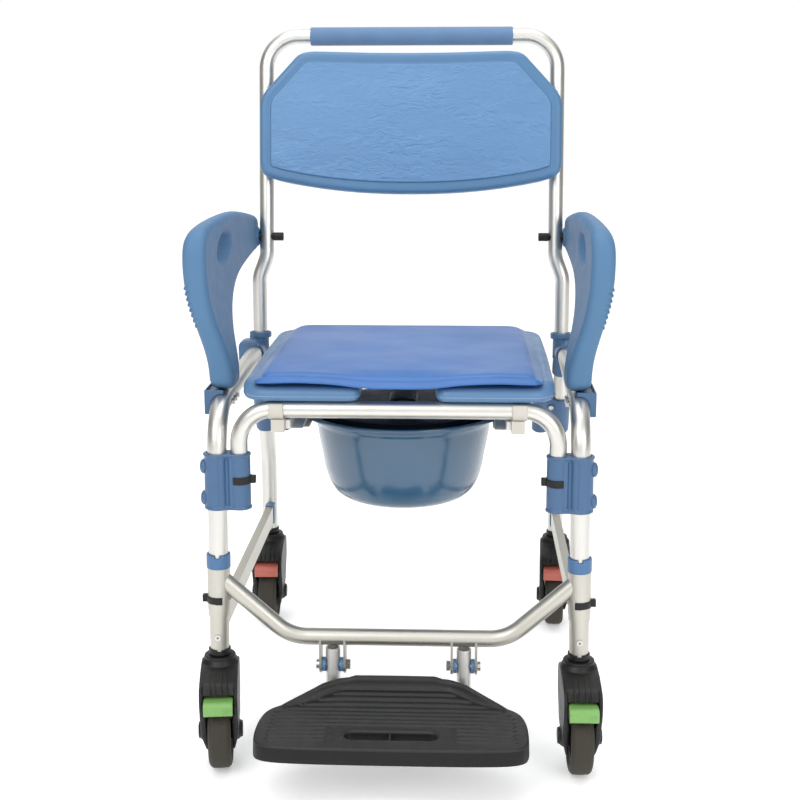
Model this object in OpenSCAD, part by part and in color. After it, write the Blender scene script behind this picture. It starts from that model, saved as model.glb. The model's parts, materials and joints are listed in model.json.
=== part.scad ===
// Wheeled commode chair: aluminium tube frame, blow-moulded plastic seat,
// backrest and flip-up armrests, lift-off cushion, sliding pan with lid,
// flip-up footrest and four braked swivel castors. Millimetres.
// +X is to the right of someone facing the front of the chair, +Y points from
// the front to the back, +Z is up. The floor is z = 0.

/* [Frame] */
// Outside diameter of the side tubes and legs
leg_od = 25.4; // [24:0.1:26]
// Outside diameter of the seat loops, the back loop and the cross tube
loop_od = 22.2; // [20:0.1:23]
// Wall thickness of every round tube
tube_wall = 1.5; // [1:0.1:2]
// Height of the side rails' centre line
rail_z = 474; // [472:1:475]
// Height of the seat loops' centre line
seat_tube_z = 476.5; // [475.5:0.5:477.5]
// Half distance between the upright parts of the front seat loop
seat_tube_x = 204.3; // [203:0.1:205]
// Height of the push handle's centre line
handle_z = 957; // [950:1:965]
// Recline of the upper back loop, in degrees
recline = 8.5; // [8:0.1:9]
// Height of the front cross tube's centre line
cross_z = 169; // [167:1:170]

/* [Seat] */
// Half width of the seat board
board_hw = 203; // [196:1:206]
// Thickness of the seat board
board_t = 23; // [20:1:24]
// Radius of the pan opening in the board
pan_hole_r = 112; // [105:1:116]
// Width of the front gap of the board
gap_w = 96; // [80:1:100]
// Thickness of the cushion
cushion_t = 11; // [8:1:16]

/* [Pan] */
// Radius of the pan flange
pan_rim_r = 137.5; // [134:0.5:137.5]
// Radius of the pan body under the flange
pan_r = 121.5; // [116:0.5:122]
// Height of the pan's lowest point
pan_bottom_z = 312.5; // [305:0.5:325]

/* [Footrest] */
// Half width of the footplate at its front
plate_hw = 170; // [160:1:172]
// Height of the footplate's top face
plate_z = 95; // [93:1:97]

/* [Castors] */
// Wheel radius
wheel_r = 50; // [48:0.5:50]
// Tyre width
tyre_w = 30; // [26:1:31]
// Trail of the axle behind the swivel axis
trail = 33; // [32:0.5:34]
// Resting swivel angle of the front left castor
swivel_fl = 7; // [-30:1:30]
// Resting swivel angle of the front right castor
swivel_fr = 1; // [-30:1:30]
// Resting swivel angle of the rear left castor
swivel_rl = 2; // [-30:1:30]
// Resting swivel angle of the rear right castor
swivel_rr = -3; // [-30:1:30]

/* [Hidden] */
$fn = 48;

// Everything is drawn with the front legs at y = 0 and moved so that the
// origin is under the middle of the whole chair.
y_shift = -188.57;

leg_r = leg_od / 2;
loop_r = loop_od / 2;
gap = 0.1;                  // assembly gap between a tube and what holds it

// The front legs lean: their axis runs through these two points.
leg_lean = 0.895;           // degrees
leg_x0 = 239.72;            // distance from the middle plane at the floor
// The rear legs slope back from the back joints and then stand upright.
rear_x = 241;
rear_y = 524;
slope = 23.6;
joint_y = 438;
joint_z = 480;
rear_loop_x = 211;
rear_loop_y = joint_y + (joint_z - seat_tube_z) * tan(slope);
castor_x = 237.4;           // swivel axes of the front castors
back_x = 225.6;
back_y = 447;
back_z = 624;
arm_y = 447.5;
arm_z = 652;
foot_x = 86.6;
foot_z = 130;
rail_x = 152.6;
slide_top = 432;
clip_z = 384;
slide_x = 123.8;
pan_y = 182;

function unit(v) = v / norm(v);
function leg_x(z) = leg_x0 - z * tan(leg_lean);

module place() { translate([0, y_shift, 0]) children(); }
module along(a, b) {
  d = b - a;
  translate(a) rotate([0, acos(d[2] / norm(d)), atan2(d[1], d[0])]) children();
}
// A round bar through points, with rounded bends. The bends are a hair thinner
// than the straight runs and their ends sit inside them, so it is one solid.
module bar(pts, rads, r, ext) {
  n = len(pts);
  function t_of(i) = i <= 0 || i >= n - 1 ? -ext :
    rads[i] * tan(acos(unit(pts[i] - pts[i-1]) * unit(pts[i+1] - pts[i])) / 2);
  for (i = [0 : n - 2]) {
    u = unit(pts[i+1] - pts[i]);
    a = pts[i] + u * t_of(i);
    b = pts[i+1] - u * t_of(i + 1);
    along(a, b) cylinder(r = r, h = norm(b - a));
  }
  for (i = [1 : 1 : n - 2]) {
    u = unit(pts[i] - pts[i-1]);
    v = unit(pts[i+1] - pts[i]);
    th = acos(u * v);
    over = 0.8 / rads[i] * 180 / PI;
    c = pts[i] + unit(v - u) * rads[i] / cos(th / 2);
    x = unit(pts[i] - u * t_of(i) - c);
    z = cross(x, u);
    multmatrix([[x[0], u[0], z[0], c[0]], [x[1], u[1], z[1], c[1]],
                [x[2], u[2], z[2], c[2]], [0, 0, 0, 1]])
      rotate([0, 0, -over]) rotate_extrude(angle = th + 2 * over) translate([rads[i], 0]) circle(r - 0.05);
  }
}
// The same, hollow when wall is over 0.
module tube(pts, rads, r, wall) {
  difference() {
    bar(pts, rads, r, 0);
    if (wall > 0) bar(pts, rads, r - wall, 1);
  }
}
// Corner cutting, used twice on a control polygon to round an outline.
function cut(p) = [for (i = [0 : len(p) - 1], k = [0, 1])
  let (a = p[i], b = p[(i + 1) % len(p)]) k == 0 ? a * 0.75 + b * 0.25 : a * 0.25 + b * 0.75];
function smooth(p, n) = n == 0 ? p : smooth(cut(p), n - 1);
function flipx(p) = [for (i = [len(p) - 1 : -1 : 0]) [-p[i][0], p[i][1]]];
// Extrusions of a (y, z) outline along x and of an (x, z) outline along y.
module along_x(w) { rotate([90, 0, 90]) linear_extrude(w, center = true) children(); }
module along_y(w) { rotate([90, 0, 0]) linear_extrude(w, center = true) children(); }
module cyl_x(r, w) { rotate([0, 90, 0]) cylinder(r = r, h = w, center = true); }
module on_leg(s) { translate([s * leg_x0, 0, 0]) rotate([0, -s * leg_lean, 0]) children(); }
module on_slope(x) { translate([x, joint_y, joint_z]) rotate([slope, 0, 0]) children(); }
module on_back() { translate([0, back_y, back_z]) rotate([-recline, 0, 0]) children(); }
module side(s) { if (s < 0) mirror([1, 0, 0]) children(); else children(); }

// ---- frame tubes -------------------------------------------------------
rail_rear = [243, 421, rail_z];
module side_tube_at(s) color("gainsboro") place() side(s)
  tube([[leg_x(265), 0, 265], [leg_x(rail_z), 0, rail_z], rail_rear], [0, 55, 0], leg_r, tube_wall);
module side_tube_left() side_tube_at(-1);
module side_tube_right() side_tube_at(1);

module seat_loop_front() color("gainsboro") place()
  tube([[-seat_tube_x, 0, 350], [-seat_tube_x, 0, seat_tube_z], [seat_tube_x, 0, seat_tube_z],
        [seat_tube_x, 0, 350]], [0, 45, 45, 0], loop_r, tube_wall);

rear_loop_drop = 135;
module seat_loop_rear() color("gainsboro") place() {
  y2 = rear_loop_y + rear_loop_drop * tan(slope);
  z2 = seat_tube_z - rear_loop_drop;
  tube([[-rear_loop_x, y2, z2], [-rear_loop_x, rear_loop_y, seat_tube_z],
        [rear_loop_x, rear_loop_y, seat_tube_z], [rear_loop_x, y2, z2]],
       [0, 45, 45, 0], loop_r, tube_wall);
}

sleeve_lo = 198.5;
sleeve_hi = 264;
module lower_front_frame() color("silver") place() {
  vx = 143;
  difference() {
    union() {
      tube([[-leg_x(252), 0, 252], [-vx, 0, cross_z], [vx, 0, cross_z], [leg_x(252), 0, 252]],
           [0, 60, 60, 0], loop_r, 0);
      for (s = [-1, 1]) on_leg(s) {
        translate([0, 0, sleeve_lo + 8]) cylinder(r = 14.8, h = sleeve_hi - sleeve_lo - 8);
        translate([0, 0, sleeve_lo]) cylinder(r = 14.2, h = 8);
      }
      for (s = [-1, 1], k = [-1, 1]) translate([s * foot_x + k * 16, 0, 0]) difference() {
        union() {
          translate([-1.5, -11, foot_z]) cube([3, 22, cross_z - foot_z]);
          translate([0, 0, foot_z]) cyl_x(11, 3);
        }
        translate([0, 0, foot_z]) cyl_x(4.1, 8);
      }
    }
    for (s = [-1, 1]) on_leg(s)
      translate([0, 0, sleeve_lo - 10]) cylinder(r = leg_r + gap, h = 100);
    for (s = [-1, 1]) on_leg(s) translate([0, 0, 221]) rotate([0, 90, 0]) cylinder(r = 2.6, h = 40, center = true);
    bar([[-leg_x(252), 0, 252], [-vx, 0, cross_z], [vx, 0, cross_z], [leg_x(252), 0, 252]],
        [0, 60, 60, 0], loop_r - tube_wall, -14);
  }
}

module lower_leg_at(s) color("silver") place() on_leg(s) difference() {
  union() {
    translate([0, 0, 150]) cylinder(r = leg_r, h = 258 - 150);
    translate([0, 0, 200]) cylinder(r = leg_r - tube_wall - gap, h = 330 - 200);
  }
  translate([0, 0, 149]) cylinder(r = leg_r - tube_wall, h = 51);
  translate([0, 0, 199]) cylinder(r = leg_r - tube_wall - gap - 1.3, h = 140);
  translate([0, 0, 221]) rotate([0, 90, 0]) cylinder(r = 2.6, h = 40, center = true);
}
module lower_leg_left() lower_leg_at(-1);
module lower_leg_right() lower_leg_at(1);

module rear_leg_at(s) color("silver") place() side(s) {
  z1 = joint_z - (rear_y - joint_y) / tan(slope);
  tube([[rear_x, joint_y + 13 * tan(slope), joint_z - 13], [rear_x, rear_y, z1], [rear_x, rear_y, 150]],
       [0, 100, 0], leg_r, tube_wall);
}
module rear_leg_left() rear_leg_at(-1);
module rear_leg_right() rear_leg_at(1);

back_low = [[237.5, joint_y, 478], [237.5, 441.5, 589], [back_x, 446.5, 621]];
back_top = [back_x, back_y + (handle_z - back_z) * tan(recline), handle_z];
module back_path(w) tube(
  [for (p = back_low) [-p[0], p[1], p[2]], [-back_top[0], back_top[1], back_top[2]],
   back_top, back_low[2], back_low[1], back_low[0]],
  [0, 40, 40, 50, 50, 40, 40, 0], loop_r, w);
module back_loop() color("gainsboro") place() difference() {
  back_path(tube_wall);
  translate([0, arm_y, arm_z]) cyl_x(5.05, 500);
}

strut_x = 238;
strut_z = 181.5;
strut_h = 27;
module strut_at(s) color("silver") place() side(s) difference() {
  translate([strut_x - 6, 19, strut_z - strut_h / 2]) cube([12, 486, strut_h]);
  translate([strut_x - 4.6, 18, strut_z - strut_h / 2 + 1.4]) cube([9.2, 488, strut_h - 2.8]);
}
module strut_left() strut_at(-1);
module strut_right() strut_at(1);

module strut_end_caps() color("steelblue") place() for (s = [-1, 1]) side(s) {
  difference() {
    translate([strut_x - 7.5, 9, strut_z - 16]) cube([15, 18, 32]);
    translate([strut_x - 6.05, 18.9, strut_z - strut_h / 2 - 0.05]) cube([12.1, 20, strut_h + 0.1]);
    on_leg(1) cylinder(r = leg_r + gap, h = 300);
  }
  difference() {
    translate([strut_x - 7.5, rear_y - 27, strut_z - 16]) cube([15, 18, 32]);
    translate([strut_x - 6.05, rear_y - 39, strut_z - strut_h / 2 - 0.05]) cube([12.1, 20.1, strut_h + 0.1]);
    translate([rear_x, rear_y, 0]) cylinder(r = leg_r + gap, h = 300);
  }
}

module leg_collars() color("steelblue") place() for (s = [-1, 1]) on_leg(s) difference() {
  translate([0, 0, sleeve_hi + gap]) cylinder(r = 15.8, h = 19);
  translate([0, 0, sleeve_hi - 1]) cylinder(r = leg_r + gap, h = 30);
  translate([-3, -20, sleeve_hi + 15]) cube([6, 10, 10]);
}

// ---- clamps and joints -------------------------------------------------
module front_clamp_at(s) color("steelblue") place() side(s) difference() {
  union() {
    on_leg(1) translate([0, 0, 345]) cylinder(r = 16.4, h = 74);
    translate([seat_tube_x, 0, 345]) cylinder(r = 14, h = 74);
    translate([seat_tube_x, -11.5, 345]) cube([29, 23, 74]);
    for (z = [345, 416]) translate([seat_tube_x, 0, z]) {
      cylinder(r = 15, h = 3);
      translate([0, -14, 0]) cube([29, 28, 3]);
      translate([29.5, 0, 0]) cylinder(r = 17.3, h = 3);
    }
  }
  on_leg(1) translate([0, 0, 340]) cylinder(r = leg_r + gap, h = 90);
  translate([seat_tube_x, 0, 340]) cylinder(r = loop_r + gap, h = 90);
  translate([seat_tube_x, 0, clip_z]) rotate([0, 90, 0]) cylinder(r = 2.6, h = 60, center = true);
}
module front_clamp_left() front_clamp_at(-1);
module front_clamp_right() front_clamp_at(1);

module rear_clamp_at(s) color("steelblue") place() side(s) difference() {
  on_slope(rear_x) union() {
    translate([0, 0, -160]) cylinder(r = 16.4, h = 66);
    translate([rear_loop_x - rear_x, 0, -160]) cylinder(r = 14, h = 66);
    translate([rear_loop_x - rear_x, -11.5, -160]) cube([30, 23, 66]);
  }
  on_slope(rear_x) translate([0, 0, -170]) cylinder(r = leg_r + gap, h = 90);
  on_slope(rear_loop_x) translate([0, 0, -151.5]) cylinder(r = loop_r + gap, h = 90);
}
module rear_clamp_left() rear_clamp_at(-1);
module rear_clamp_right() rear_clamp_at(1);

module back_joint_at(s) color("steelblue") place() side(s) difference() {
  union() {
    translate([239.5, joint_y, 462]) cylinder(r = 15.4, h = 36);
    translate([243, joint_y, rail_z]) rotate([90, 0, 0]) cylinder(r = 16, h = 40);
    on_slope(rear_x) translate([0, 0, -48]) cylinder(r = 15.6, h = 40);
  }
  along([237.5, joint_y - 0.0315, 477], [237.5, 441.5, 589]) cylinder(r = loop_r + gap, h = 40);
  along([leg_x(rail_z), 0, rail_z], rail_rear) cylinder(r = leg_r + gap, h = norm(rail_rear - [leg_x(rail_z), 0, rail_z]) + 0.5);
  on_slope(rear_x) translate([0, 0, -60]) cylinder(r = leg_r + gap, h = 60 - 12.5);
}
module back_joint_left() back_joint_at(-1);
module back_joint_right() back_joint_at(1);

module frame_screws() color("silver") place() for (s = [-1, 1]) side(s) {
  // pan heads on the lower legs
  on_leg(1) translate([0, -leg_r, 170]) rotate([90, 0, 0]) cylinder(r = 4, h = 2.2);
  // heads on the outer side of the front clamps
  for (z = [362, 398]) translate([250.6, 0, z]) rotate([0, 90, 0]) cylinder(r = 6, h = 3.4);
  // nuts of the armrest sockets on the inner side of the rail
  for (y = [54, 75, 96]) translate([leg_x(rail_z) + 0.0254 * y - leg_r - 4.4, y, rail_z]) rotate([0, 90, 0]) cylinder(r = 4, h = 4.2, $fn = 6);
  // heads on the rear clamps
  on_slope(226) for (z = [-146, -108]) translate([0, -12.4, z]) rotate([90, 0, 0]) cylinder(r = 4, h = 2.5);
}

module snap_clips() color("black") place() for (s = [-1, 1]) side(s) {
  on_leg(1) translate([0, 0, 221]) {
    difference() {
      translate([0, 0, -5]) cylinder(r = 16.3, h = 10);
      translate([0, 0, -6]) cylinder(r = 14.9, h = 12);
      translate([-20, 0, -6]) cube([26, 30, 12]);
      translate([-20, -20, -6]) cube([13, 40, 12]);
    }
    translate([14.9, -4, -5]) cube([6.6, 8, 10]);
    translate([-15.4, 0, 0]) rotate([0, 90, 0]) cylinder(r = 2.5, h = 30.4);
  }
  translate([seat_tube_x, 0, clip_z]) {
    difference() {
      translate([0, 0, -5]) cylinder(r = 15.6, h = 10);
      translate([0, 0, -6]) cylinder(r = 14.1, h = 12);
      translate([-6, 0, -6]) cube([26, 30, 12]);
      translate([7, -20, -6]) cube([20, 40, 12]);
    }
    translate([-21, -4, -5]) cube([6.8, 8, 10]);
    translate([-14.2, 0, 0]) rotate([0, 90, 0]) cylinder(r = 2.5, h = 2.9);
  }
}

// ---- seat rails and pan slides -----------------------------------------
rail_top = 465.2;
module seat_rail_at(s) color("beige") place() side(s) difference() {
  translate([rail_x - 8.3, -12, rail_top - 16.5]) cube([16.6, 466, 16.5]);
  translate([rail_x - 6.8, -9, rail_top - 15]) cube([13.6, 460, 13.5]);
}
module seat_rail_left() seat_rail_at(-1);
module seat_rail_right() seat_rail_at(1);

module seat_rail_clips() color("beige") place() for (x = [-154.5, 154.5], y = [0, rear_loop_y])
  translate([x, y, seat_tube_z]) difference() {
    cyl_x(14.3, 19);
    cyl_x(loop_r + gap, 30);
    translate([-20, -20, rail_top + 0.05 - seat_tube_z - 20]) cube([40, 40, 20]);
    translate([-20, -20, 9]) cube([40, 40, 20]);
  }

module pan_slides() color("darkgray") place() for (s = [-1, 1]) side(s) {
  difference() {
    translate([slide_x, 2, slide_top - 3]) cube([rail_x - 8.35 - slide_x, 420, 33.2]);
    translate([110, 0, slide_top]) cube([138.4 - 110, 424, 14]);
    translate([110, 0, slide_top + 17]) cube([138.4 - 110, 424, 20]);
    // the front end is cut on a slant under the upper flange
    translate([130, 0, 0]) along_x(60) polygon([[0, 451], [108, slide_top - 4], [0, slide_top - 4]]);
  }
}

// ---- backrest ----------------------------------------------------------
panel_back = -loop_r - 0.3;
panel_half = [[0, 92], [60, 91], [140, 95], [196, 114], [226, 122], [232, 146], [232, 190], [232, 238],
              [218, 260], [180, 296], [166, 307], [150, 309], [60, 306], [0, 306]];
panel_outline = concat(panel_half, flipx([for (i = [1 : len(panel_half) - 2]) panel_half[i]]));
module backrest_panel() color("cornflowerblue") place() on_back() difference() {
  union() {
    translate([0, panel_back - 11, 0]) along_y(22) polygon(smooth(panel_outline, 2));
    translate([0, panel_back - 24, 0]) along_y(4)
      polygon([for (p = smooth(panel_outline, 2)) [p[0] * 0.965, 200 + (p[1] - 200) * 0.94]]);
  }
  translate([0, panel_back - 28, 0]) along_y(8)
    polygon([for (p = smooth(panel_outline, 2)) [p[0] * 0.90, 200 + (p[1] - 200) * 0.82]]);
  for (x = [-back_x, back_x], z = [150, 240]) translate([x, 0, z]) rotate([90, 0, 0]) cylinder(r = 2.1, h = 30);
}
module backrest_screws() color("gray") place() on_back()
  for (x = [-back_x, back_x], z = [150, 240]) translate([x, 0, z]) {
    rotate([-90, 0, 0]) translate([0, 0, loop_r]) cylinder(r = 5, h = 3);
  }

module push_grip() color("royalblue") place() translate([0, back_top[1], back_top[2]]) difference() {
  cyl_x(14, 314);
  cyl_x(loop_r + gap, 330);
}

// ---- armrests ----------------------------------------------------------
module arm_socket_at(s) color("steelblue") place() side(s) difference() {
  translate([230, 42, 459]) cube([25.5, 66, 32.5]);
  bar([[leg_x(265), 0, 265], [leg_x(rail_z), 0, rail_z], rail_rear], [0, 55, 0], leg_r + gap, 0);
  translate([210, 44.5, 487.6]) cube([43, 61, 10]);
}
module arm_socket_left() arm_socket_at(-1);
module arm_socket_right() arm_socket_at(1);

module arm_pivot_bolts() color("black") place() for (s = [-1, 1]) side(s) translate([0, arm_y, arm_z]) {
  translate([237, 0, 0]) rotate([0, 90, 0]) cylinder(r = 9, h = 1.7);
  translate([205, 0, 0]) rotate([0, 90, 0]) cylinder(r = 5, h = 56);
  translate([199, 0, 0]) rotate([0, 90, 0]) cylinder(r = 6.5, h = 15.3);
}

// Side outline (y, z) and front outline (x, z) of an armrest.
arm_side = [[47, 488.6], [43, 520], [26, 560], [4, 604], [-6, 650], [0, 700], [60, 709], [250, 708], [360, 696],
            [462, 681], [466, 655], [462, 632], [420, 631], [300, 622], [232, 612], [180, 594],
            [136, 566], [110, 532], [104, 508], [103, 488.6]];
arm_front = [[219, 488.6], [219, 510], [224, 545], [232, 580], [239.2, 615], [239.2, 650], [240, 700], [252, 712],
             [268, 704], [272, 680], [271, 640], [264, 600], [254, 560], [248, 525], [247, 500], [246, 488.6]];
module armrest_at(s) color("lightskyblue") place() side(s) difference() {
  intersection() {
    translate([250, 0, 0]) along_x(60) polygon(smooth(arm_side, 2));
    translate([0, 230, 0]) along_y(500) polygon(smooth(arm_front, 2));
  }
  translate([250, arm_y, arm_z]) cyl_x(5.06, 26);
  // thumb recess in the inner face
  translate([239, 0, 0]) along_x(14) polygon(smooth([[92, 668], [98, 648], [130, 644], [196, 664], [196, 684], [130, 694], [98, 690]], 2));
}
module armrest_left() armrest_at(-1);
module armrest_right() armrest_at(1);

// ---- seat --------------------------------------------------------------
board_z = seat_tube_z + loop_r + 0.4;
board_front = -10;
board_rear = 418;
board_half = [[gap_w / 2, board_front], [140, board_front], [board_hw - 9, board_front - 1], [board_hw - 5, 14], [board_hw - 5, 70],
              [board_hw - 2, 200], [board_hw, 330], [board_hw - 2, 392], [board_hw - 22, board_rear], [0, board_rear]];
module seat_board() color("cornflowerblue") place() difference() {
  translate([0, 0, board_z]) linear_extrude(board_t)
    polygon(smooth(concat(board_half, flipx([for (i = [0 : len(board_half) - 2]) board_half[i]])), 2));
  translate([0, pan_y, board_z - 1]) cylinder(r = pan_hole_r, h = board_t + 2, $fn = 96);
  translate([-gap_w / 2, board_front - 5, board_z - 1]) cube([gap_w, pan_y - board_front - 40, board_t + 2]);
}

cushion_z = board_z + board_t + 0.3;
cushion_half = [[0, -14], [120, -14], [176, -14], [183, -4], [183, 80], [183, 250], [181, 384], [170, 401], [100, 402], [0, 402]];
module seat_cushion() color("royalblue") place() translate([0, 0, cushion_z]) linear_extrude(cushion_t)
  polygon(smooth(concat(cushion_half, flipx([for (i = [1 : len(cushion_half) - 2]) cushion_half[i]])), 2));

// ---- pan ---------------------------------------------------------------
flange_z = slide_top + 0.3;
module commode_pan() color("steelblue") place() translate([0, pan_y, 0]) rotate_extrude($fn = 96)
  polygon([[0, pan_bottom_z], [56, pan_bottom_z], [80, pan_bottom_z + 2.5], [94, pan_bottom_z + 8.5], [102.5, pan_bottom_z + 19],
           [108.5, pan_bottom_z + 35], [114.5, 378], [pan_r - 1.5, 406], [pan_r, 424], [pan_r + 0.5, flange_z], [pan_rim_r, flange_z],
           [pan_rim_r, flange_z + 7], [pan_rim_r - 4, flange_z + 7], [pan_rim_r - 4, flange_z + 3], [pan_r - 2.2, flange_z + 3],
           [pan_r - 2.6, 424], [pan_r - 4.1, 406], [111.9, 378], [106, pan_bottom_z + 36], [100.2, pan_bottom_z + 20.5],
           [92.6, pan_bottom_z + 11], [79.4, pan_bottom_z + 5.1], [56, pan_bottom_z + 2.6], [0, pan_bottom_z + 2.6]]);

lid_z = flange_z + 3.3;
module pan_lid() color("slategray") place() translate([0, pan_y, 0]) {
  rotate_extrude($fn = 96) polygon([[0, lid_z + 4], [100, lid_z + 4], [106, lid_z], [123.2, lid_z], [123.2, lid_z + 3],
    [119, lid_z + 6.5], [108, lid_z + 7], [100, lid_z + 7], [0, lid_z + 7]]);
  difference() {
    translate([0, 0, lid_z + 6.5]) along_y(60) polygon(smooth([[-20, 0], [-20, 17], [20, 17], [20, 0]], 2));
    translate([0, 0, lid_z + 6.5]) along_y(70) polygon(smooth([[-15, 0.5], [-15, 13], [15, 13], [15, 0.5]], 2));
  }
}

// ---- footrest ----------------------------------------------------------
plate_half = [[0, -12], [66, -12], [78, -14], [110, -32], [157, -55], [plate_hw, -86], [plate_hw + 1, -146], [plate_hw - 8, -166], [120, -172], [0, -173]];
plate_outline = smooth(concat(plate_half, flipx([for (i = [1 : len(plate_half) - 2]) plate_half[i]])), 2);
tray_half = [[0, -19], [64, -19], [76, -21.5], [106, -39.5], [156, -66], [200, -100], [200, -200], [0, -200]];
tray_outline = smooth(concat(tray_half, flipx([for (i = [1 : len(tray_half) - 2]) tray_half[i]])), 2);
module arm_path(r, w) for (x = [-foot_x, foot_x])
  tube([[x, 0, foot_z + 24.4], [x, 0, plate_z - 14.2], [x, -150, plate_z - 14.2]], [0, 28, 0], r, w);
module footplate() color([0.2, 0.2, 0.21]) place() difference() {
  union() {
    difference() {
      translate([0, 0, plate_z - 22]) linear_extrude(22) polygon(plate_outline);
      translate([0, 0, plate_z - 23]) linear_extrude(19)
        polygon([for (p = plate_outline) [p[0] * 0.972, -90 + (p[1] + 90) * 0.945]]);
    }
    // rear lip with sloping ends, along the rear edge of the plate
    intersection() {
      difference() {
        translate([0, 0, plate_z - 2]) linear_extrude(40) polygon(plate_outline);
        translate([0, 0, plate_z]) linear_extrude(50) polygon(tray_outline);
      }
      translate([0, -40, 0]) along_y(70) polygon([[-148, plate_z - 2], [-94, plate_z + 20], [-69, plate_z + 24], [-54, plate_z + 26.4],
        [54, plate_z + 26.4], [69, plate_z + 24], [94, plate_z + 20], [148, plate_z - 2]]);
    }
    // skirt of the hand slot
    translate([0, -132, plate_z - 20]) linear_extrude(19)
      polygon(smooth([[-67, -12], [67, -12], [71, 0], [67, 13], [-67, 13], [-71, 0]], 1));
    // bolt bosses on the arms
    for (x = [-foot_x, foot_x], y = [-60, -130]) translate([x, y, plate_z - 5]) cylinder(r = 8, h = 3);
  }
  for (x = [-foot_x, foot_x]) tube([[x, 0, foot_z + 24.4], [x, 0, plate_z - 14.2], [x, -152, plate_z - 14.2]], [0, 28, 0], 10, 0);
  for (x = [-foot_x, foot_x]) translate([x - 10, -8, 60]) cube([20, 30, 60]);
  // hand slot
  translate([0, -132, plate_z - 30]) linear_extrude(60)
    polygon(smooth([[-62, -8], [62, -8], [66, 0], [62, 9], [-62, 9], [-66, 0]], 1));
}

module footrest_arms() color("silver") place() difference() {
  arm_path(9.5, tube_wall);
  for (x = [-foot_x, foot_x]) translate([x, 0, foot_z]) cyl_x(4.06, 30);
}
module footrest_spacers() color("royalblue") place() for (x = [-foot_x, foot_x], k = [-1, 1])
  translate([x + k * 11.9, 0, foot_z]) difference() { cyl_x(9.5, 4.6); cyl_x(4.06, 8); }
module footrest_bolts() color("silver") place() for (s = [-1, 1]) side(s) translate([foot_x, 0, foot_z]) {
  cyl_x(4, 36);
  translate([18, 0, 0]) rotate([0, 90, 0]) cylinder(r = 6.5, h = 4);
  translate([-23, 0, 0]) rotate([0, 90, 0]) cylinder(r = 7.2, h = 5, $fn = 6);
}

// ---- castors -----------------------------------------------------------
// Drawn about the swivel axis with the wheel trailing towards -y.
module at_castor(i) {
  p = [[-castor_x, 0, swivel_fl], [castor_x, 0, swivel_fr], [-rear_x, rear_y, swivel_rl], [rear_x, rear_y, swivel_rr]][i];
  place() translate([p[0], p[1], 0]) rotate([0, 0, p[2]]) children();
}
module castor_sockets() color([0.15, 0.15, 0.15]) for (i = [0 : 3]) at_castor(i) difference() {
  union() {
    translate([0, 0, 146.6]) cylinder(r = 14.6, h = 11);
    translate([0, 0, 150]) cylinder(r = 10.7, h = 36);
  }
  difference() {
    translate([0, 0, 150]) cylinder(r = 13, h = 10);
    translate([0, 0, 140]) cylinder(r = 10.7, h = 40);
  }
  translate([0, 0, 140]) cylinder(r = 6.06, h = 60);
  translate([-2.5, -20, 153.5]) cube([5, 8, 10]);
}

module fork_shape() difference() {
  union() {
    along_x(49.4) polygon(smooth([[24, 100], [25, 134], [-22, 135], [-50, 128.5], [-74, 121], [-77, 96], [-64, 70],
      [-56, 40], [-46, 25], [-20, 25], [-10, 42], [4, 72], [18, 88]], 2));
    rotate_extrude() polygon([[0, 120], [23.6, 120], [24.2, 136], [21, 142], [16.6, 146.2], [0, 146.2]]);
    translate([0, 0, 120]) cylinder(r = 6, h = 64);
    for (k = [-1, 1]) translate([k * 26.5, -trail, wheel_r]) cyl_x(11, 5);
  }
  // wheel space, open below and behind
  translate([0, -trail, wheel_r]) cyl_x(wheel_r + 4, 36);
  translate([-18, -60, -5]) cube([36, 60, 40]);
  // pedal space
  translate([-19.7, -100, 86]) cube([39.4, 60, 33]);
  translate([0, -trail, wheel_r]) cyl_x(5.06, 54);
  translate([0, -46, 113]) cyl_x(2.56, 44);
}
module castor_fork_front_left() color([0.16, 0.16, 0.17]) at_castor(0) fork_shape();
module castor_fork_front_right() color([0.16, 0.16, 0.17]) at_castor(1) fork_shape();
module castor_fork_rear_left() color([0.16, 0.16, 0.17]) at_castor(2) fork_shape();
module castor_fork_rear_right() color([0.16, 0.16, 0.17]) at_castor(3) fork_shape();

module pedal_shape() {
  along_x(37.6) polygon([[-43, 114], [-45, 117.2], [-82, 117], [-86, 115], [-88, 111], [-88, 95], [-86, 92],
    [-82, 92], [-80, 106], [-77, 108], [-58, 108], [-53, 102], [-48, 102], [-43, 108]]);
  translate([0, -46, 113]) cyl_x(2.5, 43);
}
module brake_pedal_front_left() color("limegreen") at_castor(0) pedal_shape();
module brake_pedal_front_right() color("limegreen") at_castor(1) pedal_shape();
module brake_pedal_rear_left() color("indianred") at_castor(2) pedal_shape();
module brake_pedal_rear_right() color("indianred") at_castor(3) pedal_shape();

module on_axle() translate([0, -trail, wheel_r]) rotate([0, 90, 0]) children();
module tyre_shape() on_axle() rotate_extrude($fn = 72)
  polygon(concat([[37, -11], [41, -tyre_w / 2 + 0.5]], [for (a = [-80 : 20 : 80])
    [wheel_r - 8 + 8 * cos(a), (tyre_w / 2 - 8) * sign(a) + 8 * sin(a)]], [[41, tyre_w / 2 - 0.5], [37, 11]]));
module tyre_front_left() color([0.25, 0.24, 0.22]) at_castor(0) tyre_shape();
module tyre_front_right() color([0.25, 0.24, 0.22]) at_castor(1) tyre_shape();
module tyre_rear_left() color([0.25, 0.24, 0.22]) at_castor(2) tyre_shape();
module tyre_rear_right() color([0.25, 0.24, 0.22]) at_castor(3) tyre_shape();

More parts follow.
